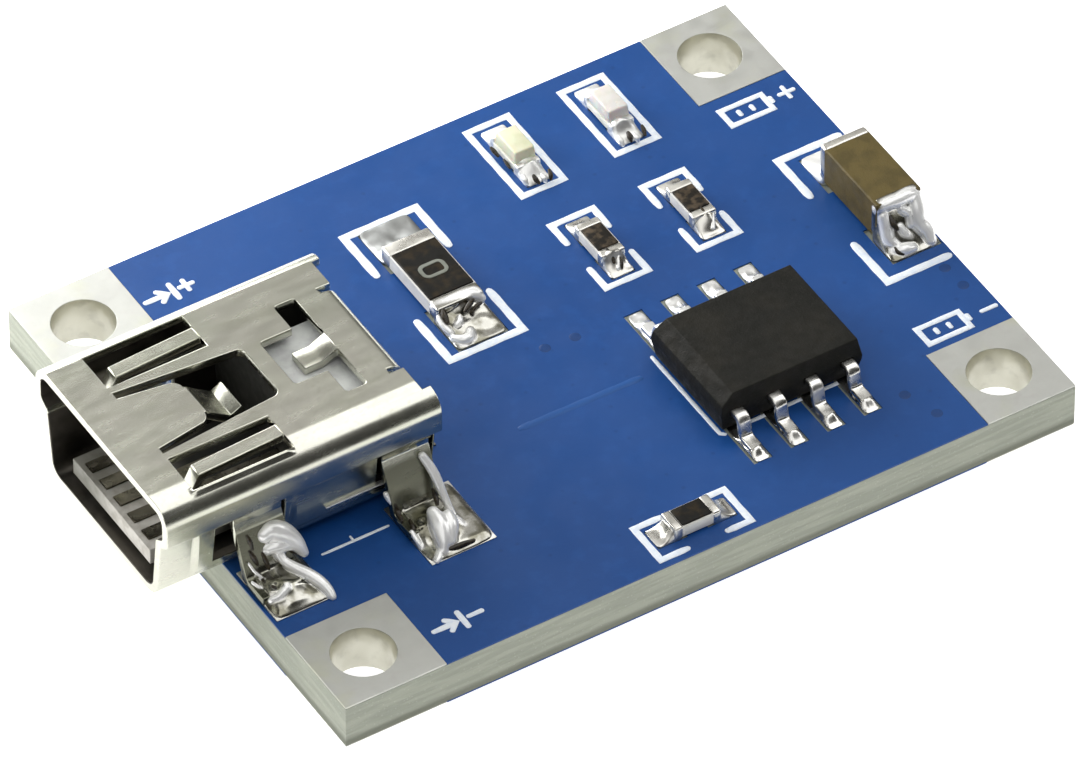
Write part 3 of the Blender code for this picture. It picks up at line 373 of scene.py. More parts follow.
# Painted light: a paler, lit copy of the insulator plastic for the recess floor under the window.
insulator_floor_lit_copy = plain_finish("insulator_floor_lit_copy", (0.66, 0.68, 0.65), (0.5, 0.5, 0.5), 0.45)
ceramic = plain_finish("white_ceramic", (0.78, 0.77, 0.73), (0.66, 0.65, 0.6), 0.5)
element = plain_finish("resistor_glaze", (0.006, 0.0055, 0.004), (0.03, 0.02, 0.008), 0.4, 0.0, 3.0,
                      Specular_IOR_Level=0.2)
small_glaze = plain_finish("small_resistor_glaze", (0.012, 0.01, 0.007), (0.11, 0.08, 0.05), 0.4, 0.0, 4.2,
                           Specular_IOR_Level=0.2)
digit_print = plain_finish("digit_print", (0.22, 0.235, 0.2), (0.15, 0.16, 0.13), 0.5)
brown = plain_finish("brown_ceramic", (0.13, 0.096, 0.028), (0.085, 0.064, 0.018), 0.42, 0.0, 2.2, 0.012,
                    Specular_IOR_Level=0.3)
barrel = solder_finish("plated_barrel", (0.6, 0.59, 0.51), 0.3, 0.5)
# Painted shade: a darkened copy of the steel for the shell's inner faces, standing in for the shadow inside
# the socket.
inner_steel_painted_shade = plain_finish("shell_inside", (0.11, 0.1, 0.085), (0.05, 0.047, 0.04), 0.42, 1.0, 0.9, 0.004)
# Flux residue, also used as painted shade in the gaps beside the legs.
flux_and_painted_shade = plain_finish("flux_residue_and_painted_shade", (0.02, 0.015, 0.009), (0.05, 0.036, 0.016), 0.3, 0.0, 6.0)
# Painted light: a whiter, lit copy of the lead tin for the chip's far-side leads and toes.
far_lead_lit_tin = solder_finish("chip_land_tin", (0.95, 0.95, 0.93), 0.34, 0.5)
lamp_white = plain_finish("lamp_base", (0.88, 0.88, 0.8), (0.78, 0.78, 0.66), 0.5)


# ---- mesh building

def grid_faces(rows, columns, closed=False):
    """Quads between rings of points stored ring after ring; closed joins the last ring to the first."""
    row, column = np.meshgrid(np.arange(rows if closed else rows - 1), np.arange(columns), indexing="ij")
    below, right = (row + 1) % rows, (column + 1) % columns
    quads = np.stack([row * columns + column, row * columns + right,
                      below * columns + right, below * columns + column], axis=-1)
    return quads.reshape(-1, 4).tolist()


def tube_faces(rows, columns, both_ends=True):
    """Faces of a tube of rings with its first end closed, and its last one where both are."""
    faces = grid_faces(rows, columns)
    faces.append(list(range(columns))[::-1])
    if both_ends:
        faces.append(list(range((rows - 1) * columns, rows * columns)))
    return faces


def put_together(shapes):
    """One set of points and faces from several."""
    points, faces, start = [], [], 0
    for shape_points, shape_faces in shapes:
        points.append(shape_points)
        faces += [[start + index for index in face] for face in shape_faces]
        start += len(shape_points)
    return np.concatenate(points), faces


def mesh_from(name, points, faces):
    """Mesh with these points and faces."""
    mesh = bpy.data.meshes.new(name)
    mesh.from_pydata(np.asarray(points, dtype=float).tolist(), [], faces)
    return mesh


def shape_of(mesh):
    """Points and faces of a mesh."""
    points = np.zeros(len(mesh.vertices) * 3)
    mesh.vertices.foreach_get("co", points)
    return points.reshape(-1, 3), [list(polygon.vertices) for polygon in mesh.polygons]


def turn_outwards(mesh, near=0.0):
    """Merge points that are as near as this, if at all, and turn the faces outwards."""
    work = bmesh.new()
    work.from_mesh(mesh)
    if near:
        bmesh.ops.remove_doubles(work, verts=work.verts, dist=near)
    bmesh.ops.recalc_face_normals(work, faces=work.faces)
    work.to_mesh(mesh)
    work.free()


def placed(name, data):
    """Object with this data, linked to the scene."""
    thing = bpy.data.objects.new(name, data)
    bpy.context.scene.collection.objects.link(thing)
    return thing


def riding(name, mesh, finishes, stands_for, sharp, weight):
    """Object that rides on the board, with its finishes and shading; weight evens the shading out."""
    for finish in finishes:
        mesh.materials.append(finish)
    mesh.shade_smooth()
    mesh.set_sharp_from_angle(angle=math.radians(sharp))
    thing = placed(name, mesh)
    if weight:
        weigh = thing.modifiers.new("even_shading", "WEIGHTED_NORMAL")
        weigh.keep_sharp = True
        weigh.weight = weight
    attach(thing, "root")
    if stands_for:
        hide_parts(*stands_for)
    return thing


def piece(name, shape, finish, stands_for=(), sharp=None, repair=True):
    """Piece from millimetre points and faces, with its doubles merged and its faces turned outwards.

    Edges above the sharp angle stay sharp; without an angle it is 40 degrees, and shading is evened.
    """
    points, faces = shape
    mesh = mesh_from(name, np.asarray(points, dtype=float) * mm, faces)
    if repair:
        turn_outwards(mesh, 1e-7)
    mesh.update()
    return riding(name, mesh, [finish], stands_for, sharp or 40.0, 0 if sharp else 50)


def dressed(node, width, finish, segments=2, near=0.004, second=None, chosen=None, hinge=None):
    """Copy of a CAD node in millimetres: merged, its flat faces joined, its sharp edges rounded.

    Faces for which chosen(centres, normals) is true take the second finish. Edges that lie across the
    middle at the hinge's X keep their corner, so that no line shows there.
    """
    corner, flat = math.radians(28.0), math.radians(1.5)
    points, faces = shape_of(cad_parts[node].data)
    mesh = mesh_from(node + "_dressed", points / mm, faces)
    work = bmesh.new()
    work.from_mesh(mesh)
    bmesh.ops.remove_doubles(work, verts=work.verts, dist=near)
    bmesh.ops.dissolve_degenerate(work, dist=near, edges=work.edges)
    bmesh.ops.dissolve_limit(work, angle_limit=flat, verts=work.verts, edges=work.edges)
    edges = [edge for edge in work.edges if edge.is_manifold and edge.calc_face_angle(0.0) > corner]
    if hinge is not None:
        edges = [edge for edge in edges
                 if not all(abs(end.co.x - hinge) < 0.02 and abs(end.co.y) < 1.8 for end in edge.verts)]
    bmesh.ops.bevel(work, geom=edges, offset=width, segments=segments, profile=0.5,
                    affect="EDGES", clamp_overlap=False)
    work.normal_update()
    if second:
        centres = np.array([face.calc_center_median() for face in work.faces])
        normals = np.array([face.normal for face in work.faces])
        for face, inner in zip(work.faces, chosen(centres, normals)):
            face.material_index = int(inner)
    bmesh.ops.scale(work, vec=(mm, mm, mm), verts=work.verts)
    work.to_mesh(mesh)
    work.free()
    return riding(node + "_dressed", mesh, [finish, second] if second else [finish], [node], 42.0, 100)


def unit(vectors):
    """Vectors with their length made 1."""
    return vectors / np.linalg.norm(vectors, axis=-1, keepdims=True)


def left_of(vectors):
    """Flat vectors turned a quarter to the left."""
    return np.stack([-vectors[:, 1], vectors[:, 0]], axis=1)


def ripple(x, y, seed, size):
    """Smooth lumps between about -1 and 1: three crossing sine waves with set phases."""
    x, y = x / size, y / size
    return (np.sin(3.1 * x + 1.7 * y + seed) + np.sin(-2.3 * x + 3.7 * y + 2.1 * seed)
            + np.sin(4.9 * x - 1.1 * y + 3.3 * seed)) / 3.0


def quarter_turns(steps):
    """Angles round four corners from the right, and the side in X and Y on which each corner lies."""
    quarter = np.linspace(0, math.pi / 2, steps + 1)
    turn = np.concatenate([quarter + math.pi / 2 * q for q in range(4)])
    return turn, np.repeat([1.0, -1.0, -1.0, 1.0], steps + 1), np.repeat([1.0, 1.0, -1.0, -1.0], steps + 1)


def rounded_rectangle(width, height, radius, steps=3):
    """Outline of a rectangle with rounded corners, anticlockwise from the right."""
    turn, side_x, side_y = quarter_turns(steps)
    x = side_x * (width / 2 - radius) + radius * np.cos(turn)
    y = side_y * (height / 2 - radius) + radius * np.sin(turn)
    return np.stack([x, y], axis=1)


def rounded_block(low, high, radius, steps=3, taper=0.0):
    """Box with rounded edges: an eighth of a ball in each corner, with flats between.

    Longitude runs round the upright axis and latitude from the bottom to the top; each quarter turn
    uses its own corner of the core box. Taper draws the top in by that much all round.
    """
    low, high = np.array(low, float), np.array(high, float)
    centre, core = (low + high) / 2, (high - low) / 2 - radius
    turn, side_x, side_y = quarter_turns(steps)
    quarter = np.linspace(0, math.pi / 2, steps + 1)
    tilt = np.concatenate([quarter - math.pi / 2, quarter])
    side_z = np.repeat([-1.0, 1.0], steps + 1)
    draw = np.where(side_z > 0, taper, 0.0)[:, None]
    x = centre[0] + side_x * (core[0] - draw) + radius * np.cos(tilt)[:, None] * np.cos(turn)
    y = centre[1] + side_y * (core[1] - draw) + radius * np.cos(tilt)[:, None] * np.sin(turn)
    z = centre[2] + side_z * core[2] + radius * np.sin(tilt)
    rows, columns = x.shape
    points = np.stack([x, y, np.broadcast_to(z[:, None], x.shape)], axis=-1).reshape(-1, 3)
    corners = [q * (steps + 1) for q in range(4)]
    lid = [(rows - 1) * columns + index for index in corners]
    return points, grid_faces(rows, columns) + [corners[::-1], lid]


def pool(low, high, height, rings=16, spokes=64, power=5.0, floor=deck - 0.02, crowd=1.4):
    """Closed puddle over a rectangle.

    Rings of one superellipse, |u|^p + |v|^p = share^p, shrink to the middle and crowd towards the
    rim. Their tops follow height(x, y, u, v); a rim wall and a flat floor close the body.
    """
    turn = np.linspace(0, 2 * math.pi, spokes, endpoint=False)
    reach = (np.abs(np.cos(turn)) ** power + np.abs(np.sin(turn)) ** power) ** (-1 / power)
    share = (1 - np.linspace(0, 1, rings + 1) ** crowd)[:-1, None]
    middle = np.zeros((1, spokes))
    u = np.vstack([share * reach * np.cos(turn), middle])
    v = np.vstack([share * reach * np.sin(turn), middle])
    x = (low[0] + high[0]) / 2 + u * (high[0] - low[0]) / 2
    y = (low[1] + high[1]) / 2 + v * (high[1] - low[1]) / 2
    z = np.maximum(height(x, y, u, v), floor + 0.01)
    wall = [np.vstack([line[:1], line]) for line in (x, y)]
    points = np.stack([*wall, np.vstack([middle + floor, z])], axis=-1).reshape(-1, 3)
    return points, tube_faces(rings + 2, spokes, both_ends=False)


def offset_ribbon(path, width, low, high, closed=False, wobble=0.06):
    """Printed line: a low domed section carried along a flat path.

    Each station is set across the path by its mitre, half the turn at corners; the width swells and
    shrinks a little, and open ends narrow like half a circle.
    """
    path = np.array(path, float)
    nodes = np.vstack([path, path[:1]]) if closed else path
    pieces = []
    for start, end in zip(nodes[:-1], nodes[1:]):
        count = max(2, int(np.linalg.norm(end - start) / 0.22))
        pieces.append(start + (end - start) * np.linspace(0, 1, count, endpoint=False)[:, None])
    if not closed:
        first, last = nodes[1] - nodes[0], nodes[-1] - nodes[-2]
        lead = nodes[0] + unit(first) * width * np.array([[0.0], [0.06], [0.2]])
        tail = nodes[-1] - unit(last) * width * np.array([[0.2], [0.06], [0.0]])
        pieces[0] = np.vstack([lead, pieces[0][1:] if len(pieces[0]) > 2 else pieces[0][:0]])
        pieces.append(tail)
    line = np.vstack(pieces)
    after = np.roll(line, -1, axis=0) - line
    before = line - np.roll(line, 1, axis=0)
    if not closed:
        after[-1], before[0] = before[-1], after[0]
    after, before = unit(after), unit(before)
    across = unit(left_of(after + before))
    across /= np.maximum(np.sum(across * left_of(after), axis=1), 0.5)[:, None]
    run = np.concatenate([[0], np.cumsum(np.linalg.norm(np.diff(line, axis=0), axis=1))])
    half = width / 2 * (1 + wobble * np.sin(7.0 * run + 11.0 * path[0, 0]))
    if not closed:
        edge = np.clip(np.minimum(run, run[-1] - run) / (width / 2), 0, 1)
        half = half * np.sqrt(np.clip(1 - (1 - edge) ** 2, 0.1, 1))
    spread = np.array([-1.0, -0.86, 0.0, 0.86, 1.0, 1.0, -1.0])
    level = np.array([0.35, 0.9, 1.0, 0.9, 0.35, 0.0, 0.0])
    flat = line[:, None, :] + across[:, None, :] * (half[:, None] * spread)[:, :, None]
    z = np.broadcast_to(low + (high - low) * level, flat.shape[:2])
    points = np.concatenate([flat, z[:, :, None]], axis=-1).reshape(-1, 3)
    count = len(line), len(spread)
    return points, grid_faces(*count, closed=True) if closed else tube_faces(*count)


def printed(name, lines, width=0.225):
    """Print on the board: lines given as (path, closed), all in one piece."""
    thickness = 0.016
    shapes = [offset_ribbon(path, width, deck, deck + thickness, closed) for path, closed in lines]
    return piece(name, put_together(shapes), print_white, sharp=60.0)


def swept(path, section, place):
    """Section carried along a bent path in an upright plane across X.

    Each station is the path's point plus the section's second number along the path's normal; the
    first number goes straight across the plane. Both ends are closed.
    """
    path, section = np.array(path, float), np.array(section, float)
    after = unit(np.diff(path, axis=0))
    way = unit(np.vstack([after[:1], after[:-1] + after[1:], after[-1:]]))
    stretch = 1 / np.maximum(np.sum(way * np.vstack([after, after[-1:]]), axis=1), 0.6)
    out = path[:, None, :] + left_of(way)[:, None, :] * (section[:, 1] * stretch[:, None])[:, :, None]
    across = np.broadcast_to(place + section[:, 0], out.shape[:2])
    points = np.concatenate([across[:, :, None], out], axis=-1).reshape(-1, 3)
    return points, tube_faces(len(path), len(section))


def bead(controls):
    """Drawn-out drop of solder through control points (x, y, height above the deck, radius).

    The controls are smoothed by cutting their corners three times, and each station carries a round
    ring square to the path; both ends are closed by rings that shrink like a quarter circle.
    """
    line = np.array(controls, float)
    line[:, 2] += deck
    for _ in range(3):
        cut = np.stack([0.75 * line[:-1] + 0.25 * line[1:], 0.25 * line[:-1] + 0.75 * line[1:]], axis=1)
        line = np.vstack([line[:1], cut.reshape(-1, 4), line[-1:]])
    lean = np.radians([4.0, 25.0, 47.0, 68.0])[:, None]
    head, tail = [
        np.hstack([end[:3] + unit(end[:3] - inner[:3]) * end[3] * np.cos(lean), end[3] * np.sin(lean)])
        for end, inner in ((line[0], line[1]), (line[-1], line[-2]))]
    line = np.vstack([head, line, tail[::-1]])
    way = unit(np.gradient(line[:, :3], axis=0))
    side = unit(np.cross(way, [0.0, 0.0, 1.0]))
    over = np.cross(side, way)
    spokes = 18
    turn = np.linspace(0, 2 * math.pi, spokes, endpoint=False)
    ring = np.cos(turn)[None, :, None] * side[:, None, :] + np.sin(turn)[None, :, None] * over[:, None, :]
    points = line[:, None, :3] + ring * line[:, None, 3:]
    points[:, :, 2] = np.maximum(points[:, :, 2], deck - 0.02)
    return points.reshape(-1, 3), tube_faces(len(line), spokes)


def melted(shapes, rounds):
    """One flowing skin over overlapping closed shapes: voxel remesh in millimetres, then smoothing."""
    mesh = mesh_from("melt", *put_together(shapes))
    turn_outwards(mesh)
    thing = placed("melt", mesh)
    skin = thing.modifiers.new("skin", "REMESH")
    skin.mode = "VOXEL"
    skin.voxel_size = 0.034
    flow = thing.modifiers.new("flow", "SMOOTH")
    flow.factor = 0.5
    flow.iterations = rounds
    bpy.context.view_layer.update()
    result = bpy.data.meshes.new_from_object(thing.evaluated_get(bpy.context.evaluated_depsgraph_get()))
    shape = shape_of(result)
    bpy.data.objects.remove(thing)
    bpy.data.meshes.remove(mesh)
    bpy.data.meshes.remove(result)
    return shape


def near_beads(points, beads, reach=0.07):
    """How far inside any bead's skin each point lies: 1 within it, 0 at the reach outside."""
    share = np.zeros(len(points))
    for controls in beads:
        line = np.array(controls, float)
        line[:, 2] += deck
        step = np.linspace(0, len(line) - 1, 12 * len(line))
        fine = np.stack([np.interp(step, np.arange(len(line)), column) for column in line.T], axis=1)
        gap = np.linalg.norm(points[:, None, :] - fine[None, :, :3], axis=2) - fine[None, :, 3]
        share = np.maximum(share, np.clip(1 - gap.min(axis=1) / reach, 0, 1))
    return share


def solder_mass(name, shapes, beads, nodes, rounds, finish=solder_run):
    """Melted solder with its frozen runs marked as matt, where the finish paints them near white, partly as a
    painted highlight.
    """
    shape = melted(shapes + [bead(controls) for controls in beads], rounds)
    thing = piece(name, shape, finish, nodes, sharp=180.0, repair=False)
    mark = thing.data.attributes.new("matt", "FLOAT", "POINT")
    mark.data.foreach_set("value", near_beads(shape[0], beads).astype(np.float32))


def bent(corners, radius, steps=5):
    """Path through corners, each turned on a quadratic curve that starts and ends a radius away."""
    corners = np.array(corners, float)
    points = [corners[:1]]
    for before, corner, after in zip(corners, corners[1:], corners[2:]):
        start, end = [corner + unit(leg) * min(radius, np.linalg.norm(leg) * 0.48)
                      for leg in (before - corner, after - corner)]
        share = np.linspace(0, 1, steps + 1)[:, None]
        points.append((1 - share) ** 2 * start + 2 * share * (1 - share) * corner + share ** 2 * end)
    points.append(corners[-1:])
    return np.vstack(points)


# ---- camera, floor and lights

def set_camera():
    """Long lens at the photograph's angle: azimuth 31.75 left of the board's width, 44.67 up."""
    azimuth, elevation, distance = math.radians(31.75), math.radians(44.67), 0.4
    back = Vector((-math.sin(azimuth) * math.cos(elevation), -math.cos(azimuth) * math.cos(elevation),
                   math.sin(elevation)))
    data = bpy.data.cameras.new("camera")
    data.sensor_width = 36.0
    data.lens = 454.9
    data.clip_start, data.clip_end = 0.01, 10.0
    camera = placed("camera", data)
    camera.rotation_euler = back.to_track_quat("Z", "Y").to_euler()
    camera.location = Vector((-0.77, -1.22, deck)) * mm + back * distance
    bpy.context.scene.camera = camera


def softbox(name, azimuth, elevation, distance, width, height, radiance, tint=(1.0, 1.0, 1.0)):
    """Rectangular studio light that faces the board; its power follows from how bright it looks."""
    data = bpy.data.lights.new(name, "AREA")
    data.shape = "RECTANGLE"
    data.size, data.size_y = width, height
    data.energy = radiance * math.pi * width * height
    data.color = tint
    light = placed(name, data)
    turn, rise = math.radians(azimuth), math.radians(elevation)
    away = Vector((math.sin(turn) * math.cos(rise), math.cos(turn) * math.cos(rise), math.sin(rise)))
    light.location = away * distance
    light.rotation_euler = away.to_track_quat("Z", "Y").to_euler()
    light.visible_camera = False


def level_sheet(name, low, high, up, finish_name, grey, **inputs):
    """Level rectangle of the studio in one matt grey, between two corners in millimetres."""
    corners = [(low[0], low[1], up), (high[0], low[1], up), (high[0], high[1], up), (low[0], high[1], up)]
    mesh = mesh_from(name, np.array(corners) * mm, [[0, 1, 2, 3]])
    material = bpy.data.materials.new(finish_name)
    material.use_nodes = True
    set_inputs(material.node_tree.nodes["Principled BSDF"],
               dict(Base_Color=(grey, grey, grey, 1), Roughness=0.9, **inputs))
    mesh.materials.append(material)
    return placed(name, mesh)


def set_floor():
    """Large pale floor that shows white, with a trace of the part's own shadow."""
    size = 3000.0
    floor = level_sheet("floor", (-size, -size), (size, size), -0.02, "pale_floor", 0.9,
                        Specular_IOR_Level=0.0, Emission_Color=(1, 1, 1, 1), Emission_Strength=0.75)


def set_card():
    """Black card on the floor in front of the board that only mirrors see, for dark reflections."""
    card = level_sheet("black_card", (-300.0, -400.0), (300.0, -55.0), 0.1, "black_card", 0.02)
    card.visible_camera = False
    card.visible_diffuse = False
    card.visible_shadow = False


def set_world():
    """Plain grey surroundings, lighter overhead and dark on the side of the camera."""
    world = bpy.data.worlds.new("studio")
    bpy.context.scene.world = world
    world.use_nodes = True
    tree = world.node_tree
    ground = tree.nodes["Background"]
    place = add_node(tree, "TexCoord")
    parts = add_node(tree, "SeparateXYZ")
    spread = add_node(tree, "MapRange", From_Min=-0.1, From_Max=1.0, To_Min=0.12, To_Max=0.24)
    side = add_node(tree, "MapRange", From_Min=-0.5, From_Max=0.5, To_Min=0.25, To_Max=1.0)
    both = add_node(tree, "Math", operation="MULTIPLY")
    wire(tree, (place.outputs["Generated"], parts.inputs[0]), (parts.outputs["Z"], spread.inputs["Value"]),
         (parts.outputs["Y"], side.inputs["Value"]), (spread.outputs["Result"], both.inputs[0]),
         (side.outputs["Result"], both.inputs[1]), (both.outputs[0], ground.inputs["Strength"]))
    ground.inputs["Color"].default_value = (1.0, 0.98, 0.94, 1)


set_camera()
set_floor()
set_card()
set_world()
bpy.context.scene.view_settings.view_transform = "Standard"
bpy.context.scene.view_settings.look = "None"

softbox("back_light", 31.0, 45.0, 0.45, 0.42, 0.36, 0.3, (1.0, 0.99, 0.96))
softbox("overhead_light", 84.0, 69.0, 0.4, 0.33, 0.34, 1.55)
softbox("close_light", -24.0, 25.0, 0.06, 0.085, 0.04, 5.4)
softbox("left_light", -95.0, 42.0, 0.45, 0.3, 0.24, 0.7)
softbox("right_light", 112.0, 34.0, 0.45, 0.16, 0.16, 2.4)
softbox("front_light", -150.0, 56.0, 0.45, 0.36, 0.36, 1.2)


# ---- board and lands

def give_finish(node, material):
    """Assign a finish to a CAD node's own material slots."""
    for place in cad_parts[node].material_slots:
        place.material = material


give_finish("board_laminate", laminate)
give_finish("solder_mask_top", blue_mask)
give_finish("solder_mask_bottom", blue_mask)
give_finish("chip_heat_pad", solder_soft)
for number in range(1, 6):
    give_finish("socket_contact_%d" % number, contact_metal)

hole_place = np.array([10.9, 7.95])


def in_barrel(centres, normals):
    """Faces of a plated barrel: upright, facing the hole's middle, below the top land."""
    to_middle = hole_place - np.abs(centres[:, :2])
    facing = np.sum(to_middle * normals[:, :2] * np.sign(centres[:, :2]), axis=1) > 0.5
    return facing & (centres[:, 2] < deck - 0.01)


for land_name in ("in_plus_land", "in_minus_land", "battery_plus_land", "battery_minus_land"):
    dressed(land_name, 0.02, tinned, second=barrel, chosen=in_barrel)


def flat_dome(centre, radius=0.18, rise=0.012):
    """Cover of a via: z falls with the fourth power of the distance from the middle."""
    def height(x, y, u, v):
        return deck + rise * (1 - (u ** 2 + v ** 2) ** 2)
    return pool((centre[0] - radius, centre[1] - radius), (centre[0] + radius, centre[1] + radius), height,
                rings=5, spokes=24, power=2.0, floor=deck - 0.01)


vias = [(0.1, -0.09), (1.1, -0.16), (11.93, -3.44), (12.0, -4.33), (8.42, -8.43), (8.03, -7.3)]
piece("via_covers", put_together([flat_dome(place) for place in vias]), via_mask,
      sharp=40.0)
track = offset_ribbon([(-2.35, -2.56), (1.9, -2.62)], 0.24, deck - 0.005, deck + 0.008)
piece("mask_ridges", track, ridge_mask, sharp=40.0)


# ---- print

def strokes(*paths, closed=False):
    """Lines of print along these paths."""
    return [(path, closed) for path in paths]


def brackets(low, high, gap, upright=True):
    """Corner brackets of a part's outline: two U shapes with a gap in the long sides."""
    if upright:
        return strokes([(low[0], gap[0]), (low[0], low[1]), (high[0], low[1]), (high[0], gap[0])],
                       [(low[0], gap[1]), (low[0], high[1]), (high[0], high[1]), (high[0], gap[1])])
    return strokes([(gap[0], low[1]), (low[0], low[1]), (low[0], high[1]), (gap[0], high[1])],
                   [(gap[1], low[1]), (high[0], low[1]), (high[0], high[1]), (gap[1], high[1])])


def closed_frame(low, high):
    """Outline of a rectangle."""
    return strokes([low, (high[0], low[1]), high, (low[0], high[1])], closed=True)


def plus_sign(x, y, size):
    """Plus sign round a middle."""
    return strokes([(x - size / 2, y), (x + size / 2, y)], [(x, y - size / 2), (x, y + size / 2)])


def minus_sign(x, y, size):
    """Minus sign round a middle."""
    return strokes([(x - size / 2, y), (x + size / 2, y)])


def cell_sign(x, y, length=1.45, height=0.72):
    """Battery outline with its small pole and two bars."""
    nub, bar, pole = height * 0.22, height * 0.2, x + length + 0.14
    outline = closed_frame((x, y - height / 2), (x + length, y + height / 2))
    return outline + strokes(
        [(pole, y - nub), (pole, y + nub)],
        [(x + length * 0.33, y - bar), (x + length * 0.33, y + bar)],
        [(x + length * 0.64, y - bar), (x + length * 0.64, y + bar)])


def feed_sign(x, y, length=1.05, height=0.8):
    """Arrow that runs into an upright bar."""
    tip, barb = x + length - 0.24, height * 0.36
    return strokes([(x, y), (tip, y)], [(tip - 0.3, y - barb), (tip, y), (tip - 0.3, y + barb)],
                   [(x + length, y - height / 2), (x + length, y + height / 2)])


printed("print_lamp_1", closed_frame((2.92, 5.72), (4.36, 8.91)))
printed("print_lamp_2", closed_frame((6.23, 5.79), (7.68, 8.91)))
printed("print_resistor_1", brackets((-2.53, 0.93), (-0.03, 6.99), (2.92, 5.0)), 0.27)
printed("print_resistor_2", brackets((2.97, 1.1), (4.43, 4.2), (2.12, 3.21)))
printed("print_resistor_3", brackets((6.15, 1.07), (7.58, 4.17), (2.1, 3.11)))
printed("print_resistor_4", brackets((-1.65, -9.3), (1.43, -7.81), (-0.66, 0.55), upright=False))
printed("print_capacitor", strokes([(10.18, -1.09), (10.18, -3.05), (12.42, -3.05)],
                                   [(10.18, 1.11), (10.18, 3.0), (12.42, 3.0)]), 0.27)
printed("print_chip", strokes([(2.57, -2.02), (2.57, -5.81), (2.72, -5.95)],
                              [(2.9, -5.85), (7.15, -5.85)]), 0.14)
printed("print_socket", strokes([(-9.9, -3.95), (-7.6, -3.95)], [(-8.8, -3.95), (-8.8, -3.72)]), 0.1)
printed("print_in_plus", feed_sign(-9.0, 7.7) + plus_sign(-7.52, 7.74, 0.58), 0.2)
printed("print_in_minus", feed_sign(-8.83, -8.32) + minus_sign(-7.35, -8.3, 0.58), 0.2)
printed("print_battery_plus", cell_sign(9.85, 5.36) + plus_sign(12.0, 5.4, 0.62), 0.19)
printed("print_battery_minus", cell_sign(9.8, -5.55) + minus_sign(12.1, -5.55, 0.62), 0.19)


# ---- socket

def recess_floor(centres, normals):
    """Floor of the insulator's shallow recess under the T-shaped window."""
    return (centres[:, 2] > 4.9) & (normals[:, 2] > 0.9) & (centres[:, 0] > -9.3) & (centres[:, 0] < -6.7)


# The recess floor takes the paler, lit copy of the plastic: painted light.
dressed("socket_insulator", 0.02, insulator, segments=1, second=insulator_floor_lit_copy,
        chosen=recess_floor)


def inside_shell(centres, normals):
    """Faces on the inner side of the sheet: within the inner section and facing the middle."""
    x, y, z = centres.T
    within = (np.abs(y) < 3.46) & (z > 1.7) & (z < 5.34) & (x < -5.95)
    inward = np.where(np.abs(normals[:, 1]) > 0.5, -np.sign(y) * normals[:, 1] > 0,
                      normals[:, 2] * (3.6 - z) > 0)
    walls = (np.abs(y) > 2.7) | (z > 5.2) | (z < 2.1)
    legs_out = (np.abs(y) > 3.02) & (z < 4.2)
    return within & inward & walls & ~legs_out


# The shell's inner faces take the darkened steel: painted shade.
dressed("socket_shell", 0.035, steel, near=0.012, second=inner_steel_painted_shade, chosen=inside_shell,
        hinge=-13.65)

side_names = {-1: "minus", 1: "plus"}
# Painted highlight: a thin matt white strip along the foot of each side wall, standing in for its lower edge
# catching the light.
for side, side_name in side_names.items():
    lip_low, lip_high = sorted((side * 3.27, side * 3.1))
    piece("wall_highlight_strip_" + side_name, rounded_block((-9.3, lip_low, 2.58), (-5.99, lip_high, 2.64), 0.02),
          solder_white)

leg_width = 1.6

# Each leg's start along the socket, and its land's length and outer edge.
legs ={"front": (-12.43, 1.95, 5.6), "rear": (-7.45, 2.2, 6.02)}
leg_seeds = {"front": 0.6, "rear": 2.3}


def leg_surface(out):
    """Height of a leg's outer face at a distance from the socket's centre line.

    It falls in a straight line from the bend to the foot, and ends where the foot does.
    """
    bend_out, bend_up, fall, foot_up, foot_end = 3.13, 3.93, 2.32, 1.95, 4.88
    slope = bend_up - fall * (out - bend_out)
    return np.where(out < foot_end, np.maximum(slope, foot_up), land_top)


def leg_pool(end, side):
    """Solder that wets a leg's foot and its land: a thin coat below, a lumpy dome with a dimple outside."""
    start, length, outer = legs[end]
    inner = 3.3
    ys = sorted((side * inner, side * outer))
    low, high = (start + 0.05, ys[0]), (start + 0.05 + length, ys[1])
    middle = start + leg_width / 2
    seed = leg_seeds[end] + (1.9 if side > 0 else 0.0)

    def height(x, y, u, v):
        out = np.abs(y)
        across = np.abs(x - middle) / (leg_width / 2)
        lumps = ripple(x, y, seed, 0.55)
        hold = 1 / (1 + np.exp((across - 0.97) * 22))
        coat = np.minimum(leg_surface(out), 2.75 + 0.2 * lumps) + 0.03
        foot = land_top + (coat - land_top) * hold
        dome = 0.4 * np.exp(-(((x - middle) / 0.62) ** 2 + ((out - 4.7) / 0.5) ** 2))
        dimple = 0.16 * np.exp(-(((x - middle + 0.25) / 0.13) ** 2 + ((out - 4.72) / 0.13) ** 2))
        body = land_top + 0.1 + dome - dimple + 0.02 * lumps
        rim = np.maximum(0.0, 1 - np.maximum(np.abs(u), np.abs(v)))
        top = np.logaddexp(foot * 14, body * 14) / 14
        return land_top + 0.012 + (top - land_top) * np.clip(rim * 4.5, 0, 1) ** 0.7

    shape = pool(low, high, height, rings=30, spokes=120, power=7.0, floor=deck - 0.14, crowd=1.25)
    plate = rounded_block((*low, deck - 0.03), (*high, land_top + 0.012), 0.012)
    name = "leg_solder_%s_%s" % (end, side_names[side])
    beads = [np.array(controls) * (1, -side, 1, 1) for controls in leg_beads[end]]
    solder_mass(name + "_mass", [shape], beads, [name], 10, leg_run)
    piece(name + "_plate", plate, solder_soft, sharp=40.0)


